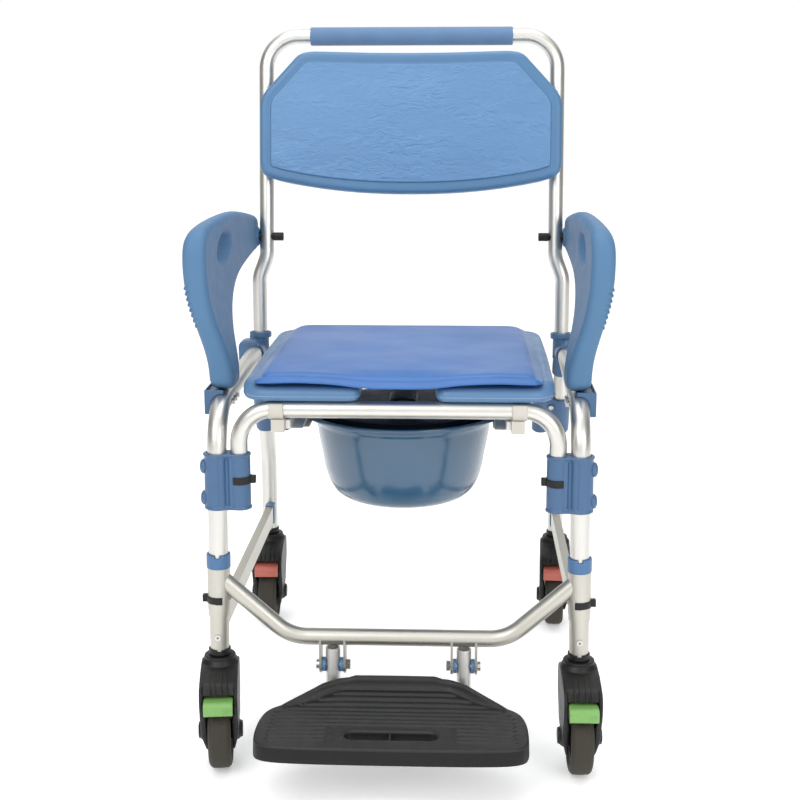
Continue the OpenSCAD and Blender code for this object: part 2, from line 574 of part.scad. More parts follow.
module hub_shape() on_axle() difference() {
  rotate_extrude($fn = 72) polygon([[0, -26], [5, -26], [5, -17], [11, -17], [13, -14], [13, -5], [30, -6], [32, -11], [36.95, -11],
    [36.95, 11], [32, 11], [30, 6], [13, 5], [13, 14], [11, 17], [5, 17], [5, 26], [0, 26]]);
  for (a = [0 : 72 : 300]) rotate([0, 0, a]) translate([21.5, 0, -10]) cylinder(r = 5.5, h = 20);
}
module wheel_hub_front_left() color([0.2, 0.2, 0.2]) at_castor(0) hub_shape();
module wheel_hub_front_right() color([0.2, 0.2, 0.2]) at_castor(1) hub_shape();
module wheel_hub_rear_left() color([0.2, 0.2, 0.2]) at_castor(2) hub_shape();
module wheel_hub_rear_right() color([0.2, 0.2, 0.2]) at_castor(3) hub_shape();

side_tube_left();
side_tube_right();
seat_loop_front();
seat_loop_rear();
lower_front_frame();
lower_leg_left();
lower_leg_right();
rear_leg_left();
rear_leg_right();
back_loop();
strut_left();
strut_right();
strut_end_caps();
leg_collars();
front_clamp_left();
front_clamp_right();
rear_clamp_left();
rear_clamp_right();
back_joint_left();
back_joint_right();
frame_screws();
snap_clips();
seat_rail_left();
seat_rail_right();
seat_rail_clips();
pan_slides();
backrest_panel();
backrest_screws();
push_grip();
arm_socket_left();
arm_socket_right();
arm_pivot_bolts();
armrest_left();
armrest_right();
seat_board();
seat_cushion();
commode_pan();
pan_lid();
footplate();
footrest_arms();
footrest_spacers();
footrest_bolts();
castor_sockets();
castor_fork_front_left();
castor_fork_front_right();
castor_fork_rear_left();
castor_fork_rear_right();
brake_pedal_front_left();
brake_pedal_front_right();
brake_pedal_rear_left();
brake_pedal_rear_right();
tyre_front_left();
tyre_front_right();
tyre_rear_left();
tyre_rear_right();
wheel_hub_front_left();
wheel_hub_front_right();
wheel_hub_rear_left();
wheel_hub_rear_right();
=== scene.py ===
import bpy, bmesh, math, json
import numpy as np
from mathutils import Vector, Matrix


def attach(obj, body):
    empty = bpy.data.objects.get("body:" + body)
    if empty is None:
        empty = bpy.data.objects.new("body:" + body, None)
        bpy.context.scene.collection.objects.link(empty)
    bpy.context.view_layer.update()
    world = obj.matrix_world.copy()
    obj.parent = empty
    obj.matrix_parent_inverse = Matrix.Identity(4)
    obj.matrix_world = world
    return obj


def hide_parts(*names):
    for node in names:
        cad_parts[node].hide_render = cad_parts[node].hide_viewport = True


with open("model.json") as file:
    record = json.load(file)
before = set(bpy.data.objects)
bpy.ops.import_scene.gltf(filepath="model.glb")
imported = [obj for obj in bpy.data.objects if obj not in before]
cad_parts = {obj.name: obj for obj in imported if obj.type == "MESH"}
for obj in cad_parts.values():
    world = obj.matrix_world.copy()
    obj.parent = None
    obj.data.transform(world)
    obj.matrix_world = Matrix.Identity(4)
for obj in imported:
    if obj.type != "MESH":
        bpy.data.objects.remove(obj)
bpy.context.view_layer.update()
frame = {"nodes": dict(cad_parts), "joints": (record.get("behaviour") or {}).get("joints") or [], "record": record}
N = frame["nodes"]
MM = 0.001
JOINT = {j["name"]: j for j in frame["joints"]}
# The pieces are laid out with the front legs at y = 0; YS carries them to the row frame.
YS = JOINT["footrest_flip"]["pos_m"][1] * 1000.0
BODY_OF = {n: b for b, ns in frame["record"]["behaviour"]["bodies"].items() for n in ns}
SLOT_OF = {s["node"]: s["material_slot"] for s in frame["record"]["subparts"]}

# ---------------------------------------------------------------- camera, stage, light
scene = bpy.context.scene
scene.view_settings.view_transform = "Standard"
scene.view_settings.look = "None"

def add_camera():
    th, ps, ro, f = 0.217, 0.044, -0.002, 1372.0
    pos = Vector((77.65, -1697.97 + YS, 864.33)) * MM
    fw = Vector((-math.sin(ps) * math.cos(th), math.cos(ps) * math.cos(th), -math.sin(th)))
    rt = Vector((math.cos(ps), math.sin(ps), 0.0))
    up = rt.cross(fw)
    c, s = math.cos(ro), math.sin(ro)
    r2 = rt * c + up * s
    u2 = -rt * s + up * c
    cam = bpy.data.cameras.new("camera")
    cam.sensor_width = 36.0
    cam.lens = f / 800.0 * 36.0
    cam.clip_start = 0.05
    cam.clip_end = 50.0
    ob = bpy.data.objects.new("camera", cam)
    m = Matrix.Identity(4)
    for i in range(3):
        m[i][0], m[i][1], m[i][2], m[i][3] = r2[i], u2[i], -fw[i], pos[i]
    ob.matrix_world = m
    scene.collection.objects.link(ob)
    scene.camera = ob

add_camera()

def look_at(ob, target):
    d = Vector(target) - ob.location
    ob.rotation_euler = d.to_track_quat("-Z", "Y").to_euler()

def area(name, loc, target, size, power, col=(1, 1, 1), size_y=None):
    li = bpy.data.lights.new(name, "AREA")
    li.energy = power
    li.color = col
    li.shape = "RECTANGLE"
    li.size = size
    li.size_y = size_y or size
    ob = bpy.data.objects.new(name, li)
    ob.location = loc
    scene.collection.objects.link(ob)
    look_at(ob, target)

def lights():
    w = bpy.data.worlds.new("studio")
    scene.world = w
    w.use_nodes = True
    t = w.node_tree
    bg = t.nodes["Background"]
    co = t.nodes.new("ShaderNodeTexCoord")
    sep = t.nodes.new("ShaderNodeSeparateXYZ")
    t.links.new(co.outputs["Generated"], sep.inputs[0])
    ab = t.nodes.new("ShaderNodeMath"); ab.operation = "ABSOLUTE"
    t.links.new(sep.outputs["X"], ab.inputs[0])
    ra = t.nodes.new("ShaderNodeValToRGB")
    e = ra.color_ramp.elements
    e[0].position, e[0].color = 0.42, (1.0, 1.0, 1.0, 1)
    e[1].position, e[1].color = 0.88, (0.26, 0.26, 0.265, 1)
    t.links.new(ab.outputs[0], ra.inputs["Fac"])
    t.links.new(ra.outputs["Color"], bg.inputs[0])
    bg.inputs[1].default_value = 1.0
    area("key", (-1.3, -2.4, 2.5), (0, 0, 0.5), 1.8, 42)
    area("fill", (1.7, -2.3, 1.5), (0, 0, 0.45), 1.4, 24)
    area("top", (0.0, 0.2, 3.0), (0, 0, 0.4), 2.0, 34)

lights()

def floor():
    me = bpy.data.meshes.new("floor")
    bm = bmesh.new()
    bmesh.ops.create_grid(bm, x_segments=8, y_segments=8, size=9.0)
    bm.to_mesh(me); bm.free()
    ob = bpy.data.objects.new("floor", me)
    ob.location = (0, 3.0, -0.0005)
    scene.collection.objects.link(ob)
    m = bpy.data.materials.new("floor_paper")
    m.use_nodes = True
    b = m.node_tree.nodes["Principled BSDF"]
    b.inputs["Base Color"].default_value = (0.93, 0.93, 0.93, 1)
    b.inputs["Roughness"].default_value = 0.75
    b.inputs["Specular IOR Level"].default_value = 0.2
    b.inputs["Emission Color"].default_value = (1, 1, 1, 1)
    b.inputs["Emission Strength"].default_value = 0.30
    me.materials.append(m)

floor()

# ---------------------------------------------------------------- materials
class Nodes:
    """Small helper to build a node tree around one Principled shader."""
    def __init__(self, name, **sock):
        self.m = bpy.data.materials.new(name)
        self.m.use_nodes = True
        self.t = self.m.node_tree
        self.b = self.t.nodes["Principled BSDF"]
        for k, v in sock.items():
            self.b.inputs[k.replace("_", " ")].default_value = v
        self.co = self.t.nodes.new("ShaderNodeTexCoord").outputs["Object"]
    def new(self, kind, **props):
        n = self.t.nodes.new(kind)
        for k, v in props.items():
            setattr(n, k, v)
        return n
    def link(self, a, b):
        self.t.links.new(a, b)
    def mapping(self, scale=(1, 1, 1), rot=(0, 0, 0), src=None):
        n = self.new("ShaderNodeMapping")
        n.inputs["Scale"].default_value = scale
        n.inputs["Rotation"].default_value = rot
        self.link(src or self.co, n.inputs["Vector"])
        return n.outputs[0]
    def noise(self, scale, detail=3, rough=0.5, src=None, dist=0.0):
        n = self.new("ShaderNodeTexNoise")
        n.inputs["Scale"].default_value = scale
        n.inputs["Detail"].default_value = detail
        n.inputs["Roughness"].default_value = rough
        n.inputs["Distortion"].default_value = dist
        self.link(src or self.co, n.inputs["Vector"])
        return n.outputs["Fac"]
    def noise_vec(self, scale, detail=2, src=None):
        n = self.new("ShaderNodeTexNoise")
        n.inputs["Scale"].default_value = scale
        n.inputs["Detail"].default_value = detail
        self.link(src or self.co, n.inputs["Vector"])
        return n.outputs["Color"]
    def voronoi(self, scale, feature="DISTANCE_TO_EDGE", src=None):
        n = self.new("ShaderNodeTexVoronoi", feature=feature)
        n.inputs["Scale"].default_value = scale
        self.link(src or self.co, n.inputs["Vector"])
        return n.outputs["Distance"]
    def ramp(self, fac, stops):
        n = self.new("ShaderNodeValToRGB")
        e = n.color_ramp.elements
        while len(e) < len(stops):
            e.new(0.5)
        for i, (p, c) in enumerate(stops):
            e[i].position = p
            e[i].color = (*c, 1) if len(c) == 3 else c
        self.link(fac, n.inputs["Fac"])
        return n.outputs["Color"]
    def remap(self, fac, a, b, c, d):
        n = self.new("ShaderNodeMapRange")
        for i, v in zip((1, 2, 3, 4), (a, b, c, d)):
            n.inputs[i].default_value = v
        self.link(fac, n.inputs[0])
        return n.outputs[0]
    def math(self, op, a, b=None):
        n = self.new("ShaderNodeMath", operation=op)
        for i, v in enumerate((a, b)):
            if v is None:
                continue
            if isinstance(v, (int, float)):
                n.inputs[i].default_value = v
            else:
                self.link(v, n.inputs[i])
        return n.outputs[0]
    def add_vec(self, a, b, k):
        s = self.new("ShaderNodeVectorMath", operation="SCALE")
        self.link(b, s.inputs[0])
        s.inputs["Scale"].default_value = k
        n = self.new("ShaderNodeVectorMath", operation="ADD")
        self.link(a, n.inputs[0])
        self.link(s.outputs[0], n.inputs[1])
        return n.outputs[0]
    def bump(self, height, strength, dist, normal=None):
        n = self.new("ShaderNodeBump")
        n.inputs["Strength"].default_value = strength
        n.inputs["Distance"].default_value = dist
        self.link(height, n.inputs["Height"])
        if normal is not None:
            self.link(normal, n.inputs["Normal"])
        return n.outputs[0]
    def colour(self, fac, dark, light):
        c = self.ramp(fac, [(0.25, dark), (0.75, light)])
        self.link(c, self.b.inputs["Base Color"])
        return c
    def rough(self, out):
        self.link(out, self.b.inputs["Roughness"])
    def normal(self, out):
        self.link(out, self.b.inputs["Normal"])

def tint(c, k):
    return tuple(min(1.0, max(0.0, v * k)) for v in c)

def moulded(name, col, rough=0.42, grain=900, grain_k=0.12, spec=0.45, coat=0.0, mottle=0.05, sss=0.0, scuff_k=0.05):
    """Injection or blow moulded plastic: fine spark texture, faint mottling, scuffs."""
    n = Nodes(name)
    b = n.b.inputs
    b["Specular IOR Level"].default_value = spec
    if coat:
        b["Coat Weight"].default_value = coat
        b["Coat Roughness"].default_value = 0.18
    big = n.noise(9, 3)
    n.colour(big, tint(col, 1 - mottle), tint(col, 1 + mottle))
    fine = n.noise(grain, 2, 0.6)
    scuff = n.noise(60, 5, 0.65)
    n.rough(n.remap(scuff, 0.3, 0.75, rough - 0.05, rough + 0.09))
    n.normal(n.bump(fine, grain_k, 0.0006, n.bump(scuff, scuff_k, 0.002)))
    return n.m

def wrinkled(name, col, rough=0.4):
    """Blow moulded panel with a slanting crease grain."""
    n = Nodes(name)
    n.b.inputs["Specular IOR Level"].default_value = 0.45
    warp = n.add_vec(n.co, n.noise_vec(38, 3), 0.010)
    lay = n.mapping((0.40, 1.0, 1.20), (0, math.radians(-33), 0), src=warp)
    f = n.noise(82, 3, 0.60, src=lay, dist=0.7)
    crease = n.math("SUBTRACT", 1.0, n.math("ABSOLUTE", n.math("MULTIPLY", n.math("SUBTRACT", f, 0.5), 4.4)))
    crease = n.math("MAXIMUM", crease, 0.0)
    patch = n.remap(n.noise(17, 3, 0.6, src=n.mapping((0.6, 1, 1.2), (0, math.radians(-33), 0))), 0.40, 0.58, 0.25, 1.0)
    h = n.math("MULTIPLY", crease, patch)
    grain = n.noise(900, 2)
    big = n.noise(6, 3)
    n.colour(n.math("ADD", n.math("MULTIPLY", big, 0.7), n.math("MULTIPLY", h, 0.28)), tint(col, 0.95), tint(col, 1.09))
    n.rough(n.remap(h, 0.0, 0.9, rough + 0.06, rough - 0.06))
    n.normal(n.bump(h, 0.85, 0.0012, n.bump(grain, 0.06, 0.0004)))
    return n.m

def skin(name, col):
    """Soft coated cushion skin with a fine pebble grain."""
    n = Nodes(name)
    b = n.b.inputs
    b["Specular IOR Level"].default_value = 0.28
    b["Sheen Weight"].default_value = 0.03
    b["Sheen Roughness"].default_value = 0.4
    warp = n.add_vec(n.co, n.noise_vec(260, 2), 0.0016)
    cell = n.remap(n.voronoi(720, src=warp), 0.0, 0.35, 0.0, 1.0)
    wave = n.noise(14, 3)
    n.colour(n.noise(22, 4), tint(col, 0.94), tint(col, 1.05))
    n.rough(n.remap(wave, 0.3, 0.7, 0.36, 0.46))
    n.normal(n.bump(cell, 0.16, 0.0004, n.bump(wave, 0.10, 0.006)))
    return n.m

def metal(name, col, rough=0.3, streak=(1, 1, 1), k=0.0):
    """Satin anodised or brushed aluminium: faint drawing lines and a cloudy finish."""
    n = Nodes(name)
    n.b.inputs["Metallic"].default_value = 1.0
    n.b.inputs["Specular IOR Level"].default_value = 0.5
    line = n.noise(420, 2, 0.5, src=n.mapping(streak))
    cloud = n.noise(13, 4, 0.6)
    n.colour(cloud, tint(col, 0.95), tint(col, 1.03))
    r = n.math("ADD", n.remap(line, 0.3, 0.7, rough - 0.03, rough + 0.03), n.remap(cloud, 0.3, 0.7, -0.03, 0.04))
    n.rough(r)
    if k:
        n.normal(n.bump(line, k, 0.0001))
    return n.m

def foam(name, col):
    n = Nodes(name)
    n.b.inputs["Specular IOR Level"].default_value = 0.25
    n.b.inputs["Sheen Weight"].default_value = 0.25
    n.b.inputs["Sheen Roughness"].default_value = 0.5
    cells = n.voronoi(900, "F1")
    big = n.noise(30, 4)
    n.colour(big, tint(col, 0.93), tint(col, 1.06))
    n.rough(n.remap(big, 0.3, 0.7, 0.7, 0.85))
    n.normal(n.bump(cells, 0.35, 0.0005, n.bump(big, 0.15, 0.002)))
    return n.m

def rubber(name, col):
    n = Nodes(name)
    n.b.inputs["Specular IOR Level"].default_value = 0.35
    dust = n.noise(45, 5, 0.7)
    n.colour(dust, tint(col, 0.85), tint(col, 1.25))
    n.rough(n.remap(dust, 0.3, 0.7, 0.55, 0.75))
    n.normal(n.bump(n.noise(800, 3), 0.2, 0.0004))
    return n.m

MAT = {
    "tube_aluminium": metal("tube_aluminium", (0.62, 0.61, 0.575), 0.36, (1, 1, 0.04)),
    "sleeve_aluminium": metal("sleeve_aluminium", (0.52, 0.505, 0.455), 0.44, (1, 1, 0.3)),
    "foot_tube": metal("foot_tube", (0.80, 0.79, 0.76), 0.52, (1, 1, 0.1)),
    "blue_plastic": moulded("blue_plastic", (0.080, 0.170, 0.312), 0.38),
    # lighter blue for the parting-line band on the seat board: a painted highlight
    "board_seam_painted_highlight": moulded("board_seam_painted_highlight", (0.17, 0.28, 0.42), 0.40),
    "collar_plastic": moulded("collar_plastic", (0.056, 0.137, 0.285), 0.38),
    "clamp_plastic": moulded("clamp_plastic", (0.046, 0.107, 0.213), 0.36, mottle=0.04),
    "armrest_plastic": moulded("armrest_plastic", (0.083, 0.172, 0.296), 0.48, 1100, 0.03, spec=0.12, mottle=0.025, scuff_k=0.0),
    "backrest_plastic": wrinkled("backrest_plastic", (0.094, 0.208, 0.385)),
    # backrest border, back and rim: a darker blue than the panel, partly its own tone and partly painted shade
    "backrest_edge_partly_shaded": moulded("backrest_edge_partly_shaded", (0.063, 0.161, 0.300), 0.38),
    "cushion_skin": skin("cushion_skin", (0.040, 0.128, 0.350)),
    # lighter, greyer blue for the top of the cushion's border band: a painted highlight
    "cushion_band_painted_highlight": skin("cushion_band_painted_highlight", (0.085, 0.175, 0.350)),
    "pan_plastic": moulded("pan_plastic", (0.028, 0.086, 0.158), 0.16, 300, 0.03, 0.55, 0.4, 0.06),
    # lid nearly black: painted shade for the shadowed gap under the seat, over a dark navy lid
    "lid_plastic": moulded("lid_plastic", (0.004, 0.008, 0.014), 0.45, 300, 0.03, 0.15, 0.0),
    "beige_plastic": moulded("beige_plastic", (0.47, 0.445, 0.395), 0.45),
    "grey_plastic": moulded("grey_plastic", (0.72, 0.71, 0.67), 0.4),
    "black_plastic": moulded("black_plastic", (0.0085, 0.0085, 0.0082), 0.42, 700, 0.14, 0.30, mottle=0.12),
    "footplate_plastic": moulded("footplate_plastic", (0.0145, 0.0143, 0.0140), 0.46, 800, 0.16, 0.34, mottle=0.15),
    # a darker copy of the footplate plastic for the skirt: painted shade on the front and side faces
    "footplate_skirt_painted_shade": moulded("footplate_skirt_painted_shade", (0.0065, 0.0062, 0.0060), 0.5, 800, 0.14, 0.24, mottle=0.12),
    "tread_rubber": rubber("tread_rubber", (0.029, 0.0255, 0.017)),
    "hub_plastic": moulded("hub_plastic", (0.012, 0.012, 0.012), 0.4, spec=0.32),
    "pedal_green": moulded("pedal_green", (0.162, 0.344, 0.091), 0.34),
    "pedal_red": moulded("pedal_red", (0.404, 0.106, 0.077), 0.36),
    "grip_foam": foam("grip_foam", (0.102, 0.184, 0.320)),
    "screw_steel": metal("screw_steel", (0.55, 0.55, 0.54), 0.28),
    # near-black for screw recesses and lug holes: painted shade standing in for the hollows
    "recess_painted_shade": moulded("recess_painted_shade", (0.012, 0.012, 0.014), 0.6),
}

def material_for(node):
    return MAT[SLOT_OF[node]]

# ---------------------------------------------------------------- mesh helpers
from mathutils.geometry import delaunay_2d_cdt

def W(x, y, z):
    """From the layout in millimetres to the row frame in metres."""
    return Vector((x * MM, (y + YS) * MM, z * MM))

def smooth_loop(pts, n=3):
    p = np.array(pts, float)
    for _ in range(n):
        q = np.roll(p, -1, axis=0)
        a, b = p * 0.75 + q * 0.25, p * 0.25 + q * 0.75
        p = np.empty((len(a) * 2, 2))
        p[0::2], p[1::2] = a, b
    return p

def resample(loop, step):
    """Points every step along a closed loop; step may be a function of the point."""
    p = np.array(loop, float)
    q = np.vstack([p, p[:1]])
    seg = np.linalg.norm(np.diff(q, axis=0), axis=1)
    s = np.concatenate([[0], np.cumsum(seg)])
    if not callable(step):
        n = max(12, int(round(s[-1] / step)))
        t = np.linspace(0, s[-1], n, endpoint=False)
    else:
        t, u = [], 0.0
        while u < s[-1]:
            t.append(u)
            x = np.interp(u, s, q[:, 0]); y = np.interp(u, s, q[:, 1])
            u += step(x, y)
        if s[-1] - t[-1] < 0.4 * step(x, y):
            t.pop()
        t = np.array(t)
    return np.stack([np.interp(t, s, q[:, 0]), np.interp(t, s, q[:, 1])], 1)

def dist_to(loops, pts):
    pts = np.asarray(pts, float)
    best = np.full(len(pts), 1e9)
    for lp in loops:
        a = lp; b = np.roll(lp, -1, axis=0)
        ab = b - a
        L = (ab ** 2).sum(1) + 1e-12
        for i0 in range(0, len(pts), 2000):
            p = pts[i0:i0 + 2000]
            t = np.clip(((p[:, None] - a[None]) * ab[None]).sum(2) / L[None], 0, 1)
            d = np.linalg.norm(p[:, None] - (a[None] + t[..., None] * ab[None]), axis=2).min(1)
            best[i0:i0 + 2000] = np.minimum(best[i0:i0 + 2000], d)
    return best

def inside(loops, pts):
    pts = np.asarray(pts, float)
    r = np.zeros(len(pts), bool)
    for lp in loops:
        x, y = pts[:, 0], pts[:, 1]
        j = len(lp) - 1
        for i in range(len(lp)):
            xi, yi = lp[i]; xj, yj = lp[j]
            c = ((yi > y) != (yj > y)) & (x < (xj - xi) * (y - yi) / (yj - yi + 1e-15) + xi)
            r ^= c
            j = i
    return r

def offset_pts(loops, dd):
    """Points at distance dd inside the loops."""
    out = []
    for lp in loops:
        t = np.roll(lp, -1, axis=0) - np.roll(lp, 1, axis=0)
        t /= np.linalg.norm(t, axis=1)[:, None] + 1e-12
        n = np.stack([-t[:, 1], t[:, 0]], 1)
        for s in (1, -1):
            q = lp + n * dd * s
            out.append(q)
    q = np.vstack(out)
    keep = inside(loops, q)
    q = q[keep]
    return q[dist_to(loops, q) > dd * 0.985] if len(q) else q

def tri_cap(loops, rings, step, keep_from):
    """Triangles filling the loops (the first is the outline, others are holes)."""
    sx, sy = step if isinstance(step, tuple) else (step, step)
    lo, hi = loops[0].min(0), loops[0].max(0)
    g = np.stack(np.meshgrid(np.arange(lo[0] + sx * 0.5, hi[0], sx), np.arange(lo[1] + sy * 0.5, hi[1], sy)), -1).reshape(-1, 2)
    g = g[inside(loops, g)]
    g = g[dist_to(loops, g) > keep_from]
    pts = [*loops]
    for dd in rings:
        q = offset_pts(loops, dd)
        if len(q):
            pts.append(q)
    base = sum(len(l) for l in loops)
    allp = np.vstack(pts + [g])
    # drop near duplicates among the inner points
    key = {}
    keepi = list(range(base))
    tol = min(0.5 * min(sx, sy), 0.6)
    for i in range(base, len(allp)):
        k = (int(round(allp[i, 0] / tol)), int(round(allp[i, 1] / tol)))
        if k in key:
            continue
        key[k] = 1
        keepi.append(i)
    allp = allp[keepi]
    edges = []
    o = 0
    for l in loops:
        edges += [(o + i, o + (i + 1) % len(l)) for i in range(len(l))]
        o += len(l)
    v, e, f, ov, oe, of = delaunay_2d_cdt([Vector((float(a), float(b))) for a, b in allp], edges, [], 0, 1e-6)
    v = np.array([[a.x, a.y] for a in v])
    cen = np.array([(v[t[0]] + v[t[1]] + v[t[2]]) / 3 for t in f])
    ok = inside(loops, cen)
    f = [t for t, k in zip(f, ok) if k]
    first = {}
    for i, src in enumerate(ov):
        for s in src:
            first[s] = i
    ring_ids = []
    o = 0
    for l in loops:
        ring_ids.append([first[o + i] for i in range(len(l))])
        o += len(l)
    return v, f, ring_ids

def drop(d, r):
    if r <= 0:
        return np.zeros_like(d)
    q = np.clip(r - d, 0, r)
    return r - np.sqrt(np.maximum(r * r - q * q, 0))

def mesh_object(name, verts, faces, mat, smooth=True, mats=None, face_mat=None):
    me = bpy.data.meshes.new(name)
    me.from_pydata([tuple(v) for v in verts], [], faces)
    me.materials.append(mat)
    for m in mats or []:
        me.materials.append(m)
    bm = bmesh.new()
    bm.from_mesh(me)
    bmesh.ops.recalc_face_normals(bm, faces=bm.faces)
    bm.to_mesh(me)
    bm.free()
    if face_mat is not None:
        me.polygons.foreach_set("material_index", face_mat)
    if smooth:
        me.polygons.foreach_set("use_smooth", [True] * len(me.polygons))
    me.update()
    ob = bpy.data.objects.new(name, me)
    scene.collection.objects.link(ob)
    return ob

def slab(name, loops, top, bottom, rt, rb, to3, mat, step=6.0, rings=(), arc=5, crease=None, mats=None, pick=None):
    """A moulded slab: an outline with holes, two height functions and rounded edges.
    top and bottom take (points, distance to the edge) and give a height; to3 takes (points, height)."""
    if not isinstance(loops, list):
        loops = [loops]
    parts = []
    for fn, r, sgn in ((top, rt, -1), (bottom, rb, 1)):
        rr = [r * (1 - math.cos(math.pi / 2 * k / arc)) for k in range(1, arc + 1)] if r > 0 else []
        v, f, ids = tri_cap(loops, [x for x in rr if x > 0.15] + list(rings), step, max(r, max(rings, default=0)) + 0.45 * (min(step) if isinstance(step, tuple) else step))
        d = dist_to(loops, v)
        h = fn(v, d) + sgn * drop(d, r)
        parts.append((v, f, ids, h, d))
    (v1, f1, i1, h1, d1), (v2, f2, i2, h2, d2) = parts
    P = np.vstack([to3(v1, h1), to3(v2, h2)])
    n1 = len(v1)
    faces = [tuple(t) for t in f1] + [tuple(n1 + k for k in reversed(t)) for t in f2]
    fm = None
    if pick is not None:
        fm = []
        for part, fs in ((0, f1), (1, f2)):
            v, dd = (v1, d1) if part == 0 else (v2, d2)
            for t in fs:
                c = v[list(t)].mean(0); q = dd[list(t)].mean()
                fm.append(pick(part, c, q))
    for a, b in zip(i1, i2):
        n = len(a)
        for i in range(n):
            j = (i + 1) % n
            faces.append((a[i], a[j], n1 + b[j], n1 + b[i]))
            if fm is not None:
                fm.append(pick(2, v1[a[i]], 0.0))
    return mesh_object(name, P, faces, mat, mats=mats, face_mat=fm)

def lathe(name, prof, mat, centre=(0, 0, 0), axis="z", n=96, rot=None, closed=False):
    """A turned piece: prof is [(radius, height)] in millimetres."""
    bm = bmesh.new()
    rings = []
    for r, z in prof:
        if r < 1e-6:
            rings.append([bm.verts.new((0, 0, z))])
        else:
            rings.append([bm.verts.new((r * math.cos(2 * math.pi * k / n), r * math.sin(2 * math.pi * k / n), z)) for k in range(n)])
    pairs = list(zip(rings, rings[1:])) + ([(rings[-1], rings[0])] if closed else [])
    for a, b in pairs:
        if len(a) == 1 and len(b) == 1:
            continue
        for k in range(n):
            j = (k + 1) % n
            if len(a) == 1:
                bm.faces.new((a[0], b[k], b[j]))
            elif len(b) == 1:
                bm.faces.new((a[k], a[j], b[0]))
            else:
                bm.faces.new((a[k], a[j], b[j], b[k]))
    bmesh.ops.recalc_face_normals(bm, faces=bm.faces)
    for f in bm.faces:
        f.smooth = True
    if axis == "x":
        bmesh.ops.transform(bm, matrix=Matrix.Rotation(math.pi / 2, 4, "Y"), verts=bm.verts)
    if axis == "y":
        bmesh.ops.transform(bm, matrix=Matrix.Rotation(-math.pi / 2, 4, "X"), verts=bm.verts)
    if rot is not None:
        bmesh.ops.transform(bm, matrix=rot, verts=bm.verts)
    bmesh.ops.transform(bm, matrix=Matrix.Translation(centre), verts=bm.verts)
    for v in bm.verts:
        v.co = W(*v.co)
    me = bpy.data.meshes.new(name)
    bm.to_mesh(me); bm.free()
    me.materials.append(mat)
    ob = bpy.data.objects.new(name, me)
    scene.collection.objects.link(ob)
    return ob

def fillet(prof, r=1.2, n=4):
    """Round the corners of an open (r, z) profile."""
    p = [Vector(q) for q in prof]
    out = [tuple(p[0])]
    for i in range(1, len(p) - 1):
        a, b, c = p[i - 1], p[i], p[i + 1]
        rr = min(r, (b - a).length * 0.45, (c - b).length * 0.45)
        s, e = b + (a - b).normalized() * rr, b + (c - b).normalized() * rr
        for k in range(n + 1):
            t = k / n
            out.append(tuple(s * (1 - t) ** 2 + b * 2 * t * (1 - t) + e * t * t))
    out.append(tuple(p[-1]))
    return out

def join(name, obs):
    """Several mesh objects as one, keeping their materials."""
    bm = bmesh.new()
    mats = []
    for o in obs:
        b = bmesh.new()
        b.from_mesh(o.data)
        idx = []
        for m in o.data.materials:
            if m not in mats:
                mats.append(m)
            idx.append(mats.index(m))
        for f in b.faces:
            f.material_index = idx[f.material_index] if idx else 0
        tmp = bpy.data.meshes.new("tmp")
        b.to_mesh(tmp); b.free()
        bm.from_mesh(tmp)
        bpy.data.meshes.remove(tmp)
        bpy.data.objects.remove(o)
    me = bpy.data.meshes.new(name)
    bm.to_mesh(me); bm.free()
    for m in mats:
        me.materials.append(m)
    ob = bpy.data.objects.new(name, me)
    scene.collection.objects.link(ob)
    return ob

def smoothstep(a, b, x):
    t = np.clip((x - a) / (b - a), 0, 1)
    return t * t * (3 - 2 * t)

def put(ob, body, slot_name, *nodes):
    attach(ob, body)
    if nodes:
        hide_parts(*nodes)
    return ob

# ---------------------------------------------------------------- backrest panel
def rounded(pts, rads, n=7):
    """A closed outline with each corner rounded; rads are the cut-back lengths."""
    out = []
    m = len(pts)
    for i in range(m):
        a, b, c = np.array(pts[i - 1], float), np.array(pts[i], float), np.array(pts[(i + 1) % m], float)
        u, v = (a - b), (c - b)
        lu, lv = np.linalg.norm(u), np.linalg.norm(v)
        t = min(rads[i], lu * 0.48, lv * 0.48)
        if t < 0.01:
            out.append(list(b)); continue
        p0, p2 = b + u / lu * t, b + v / lv * t
        for k in range(n + 1):
            q = k / n
            out.append(list(p0 * (1 - q) ** 2 + b * 2 * q * (1 - q) + p2 * q * q))
    return np.array(out)

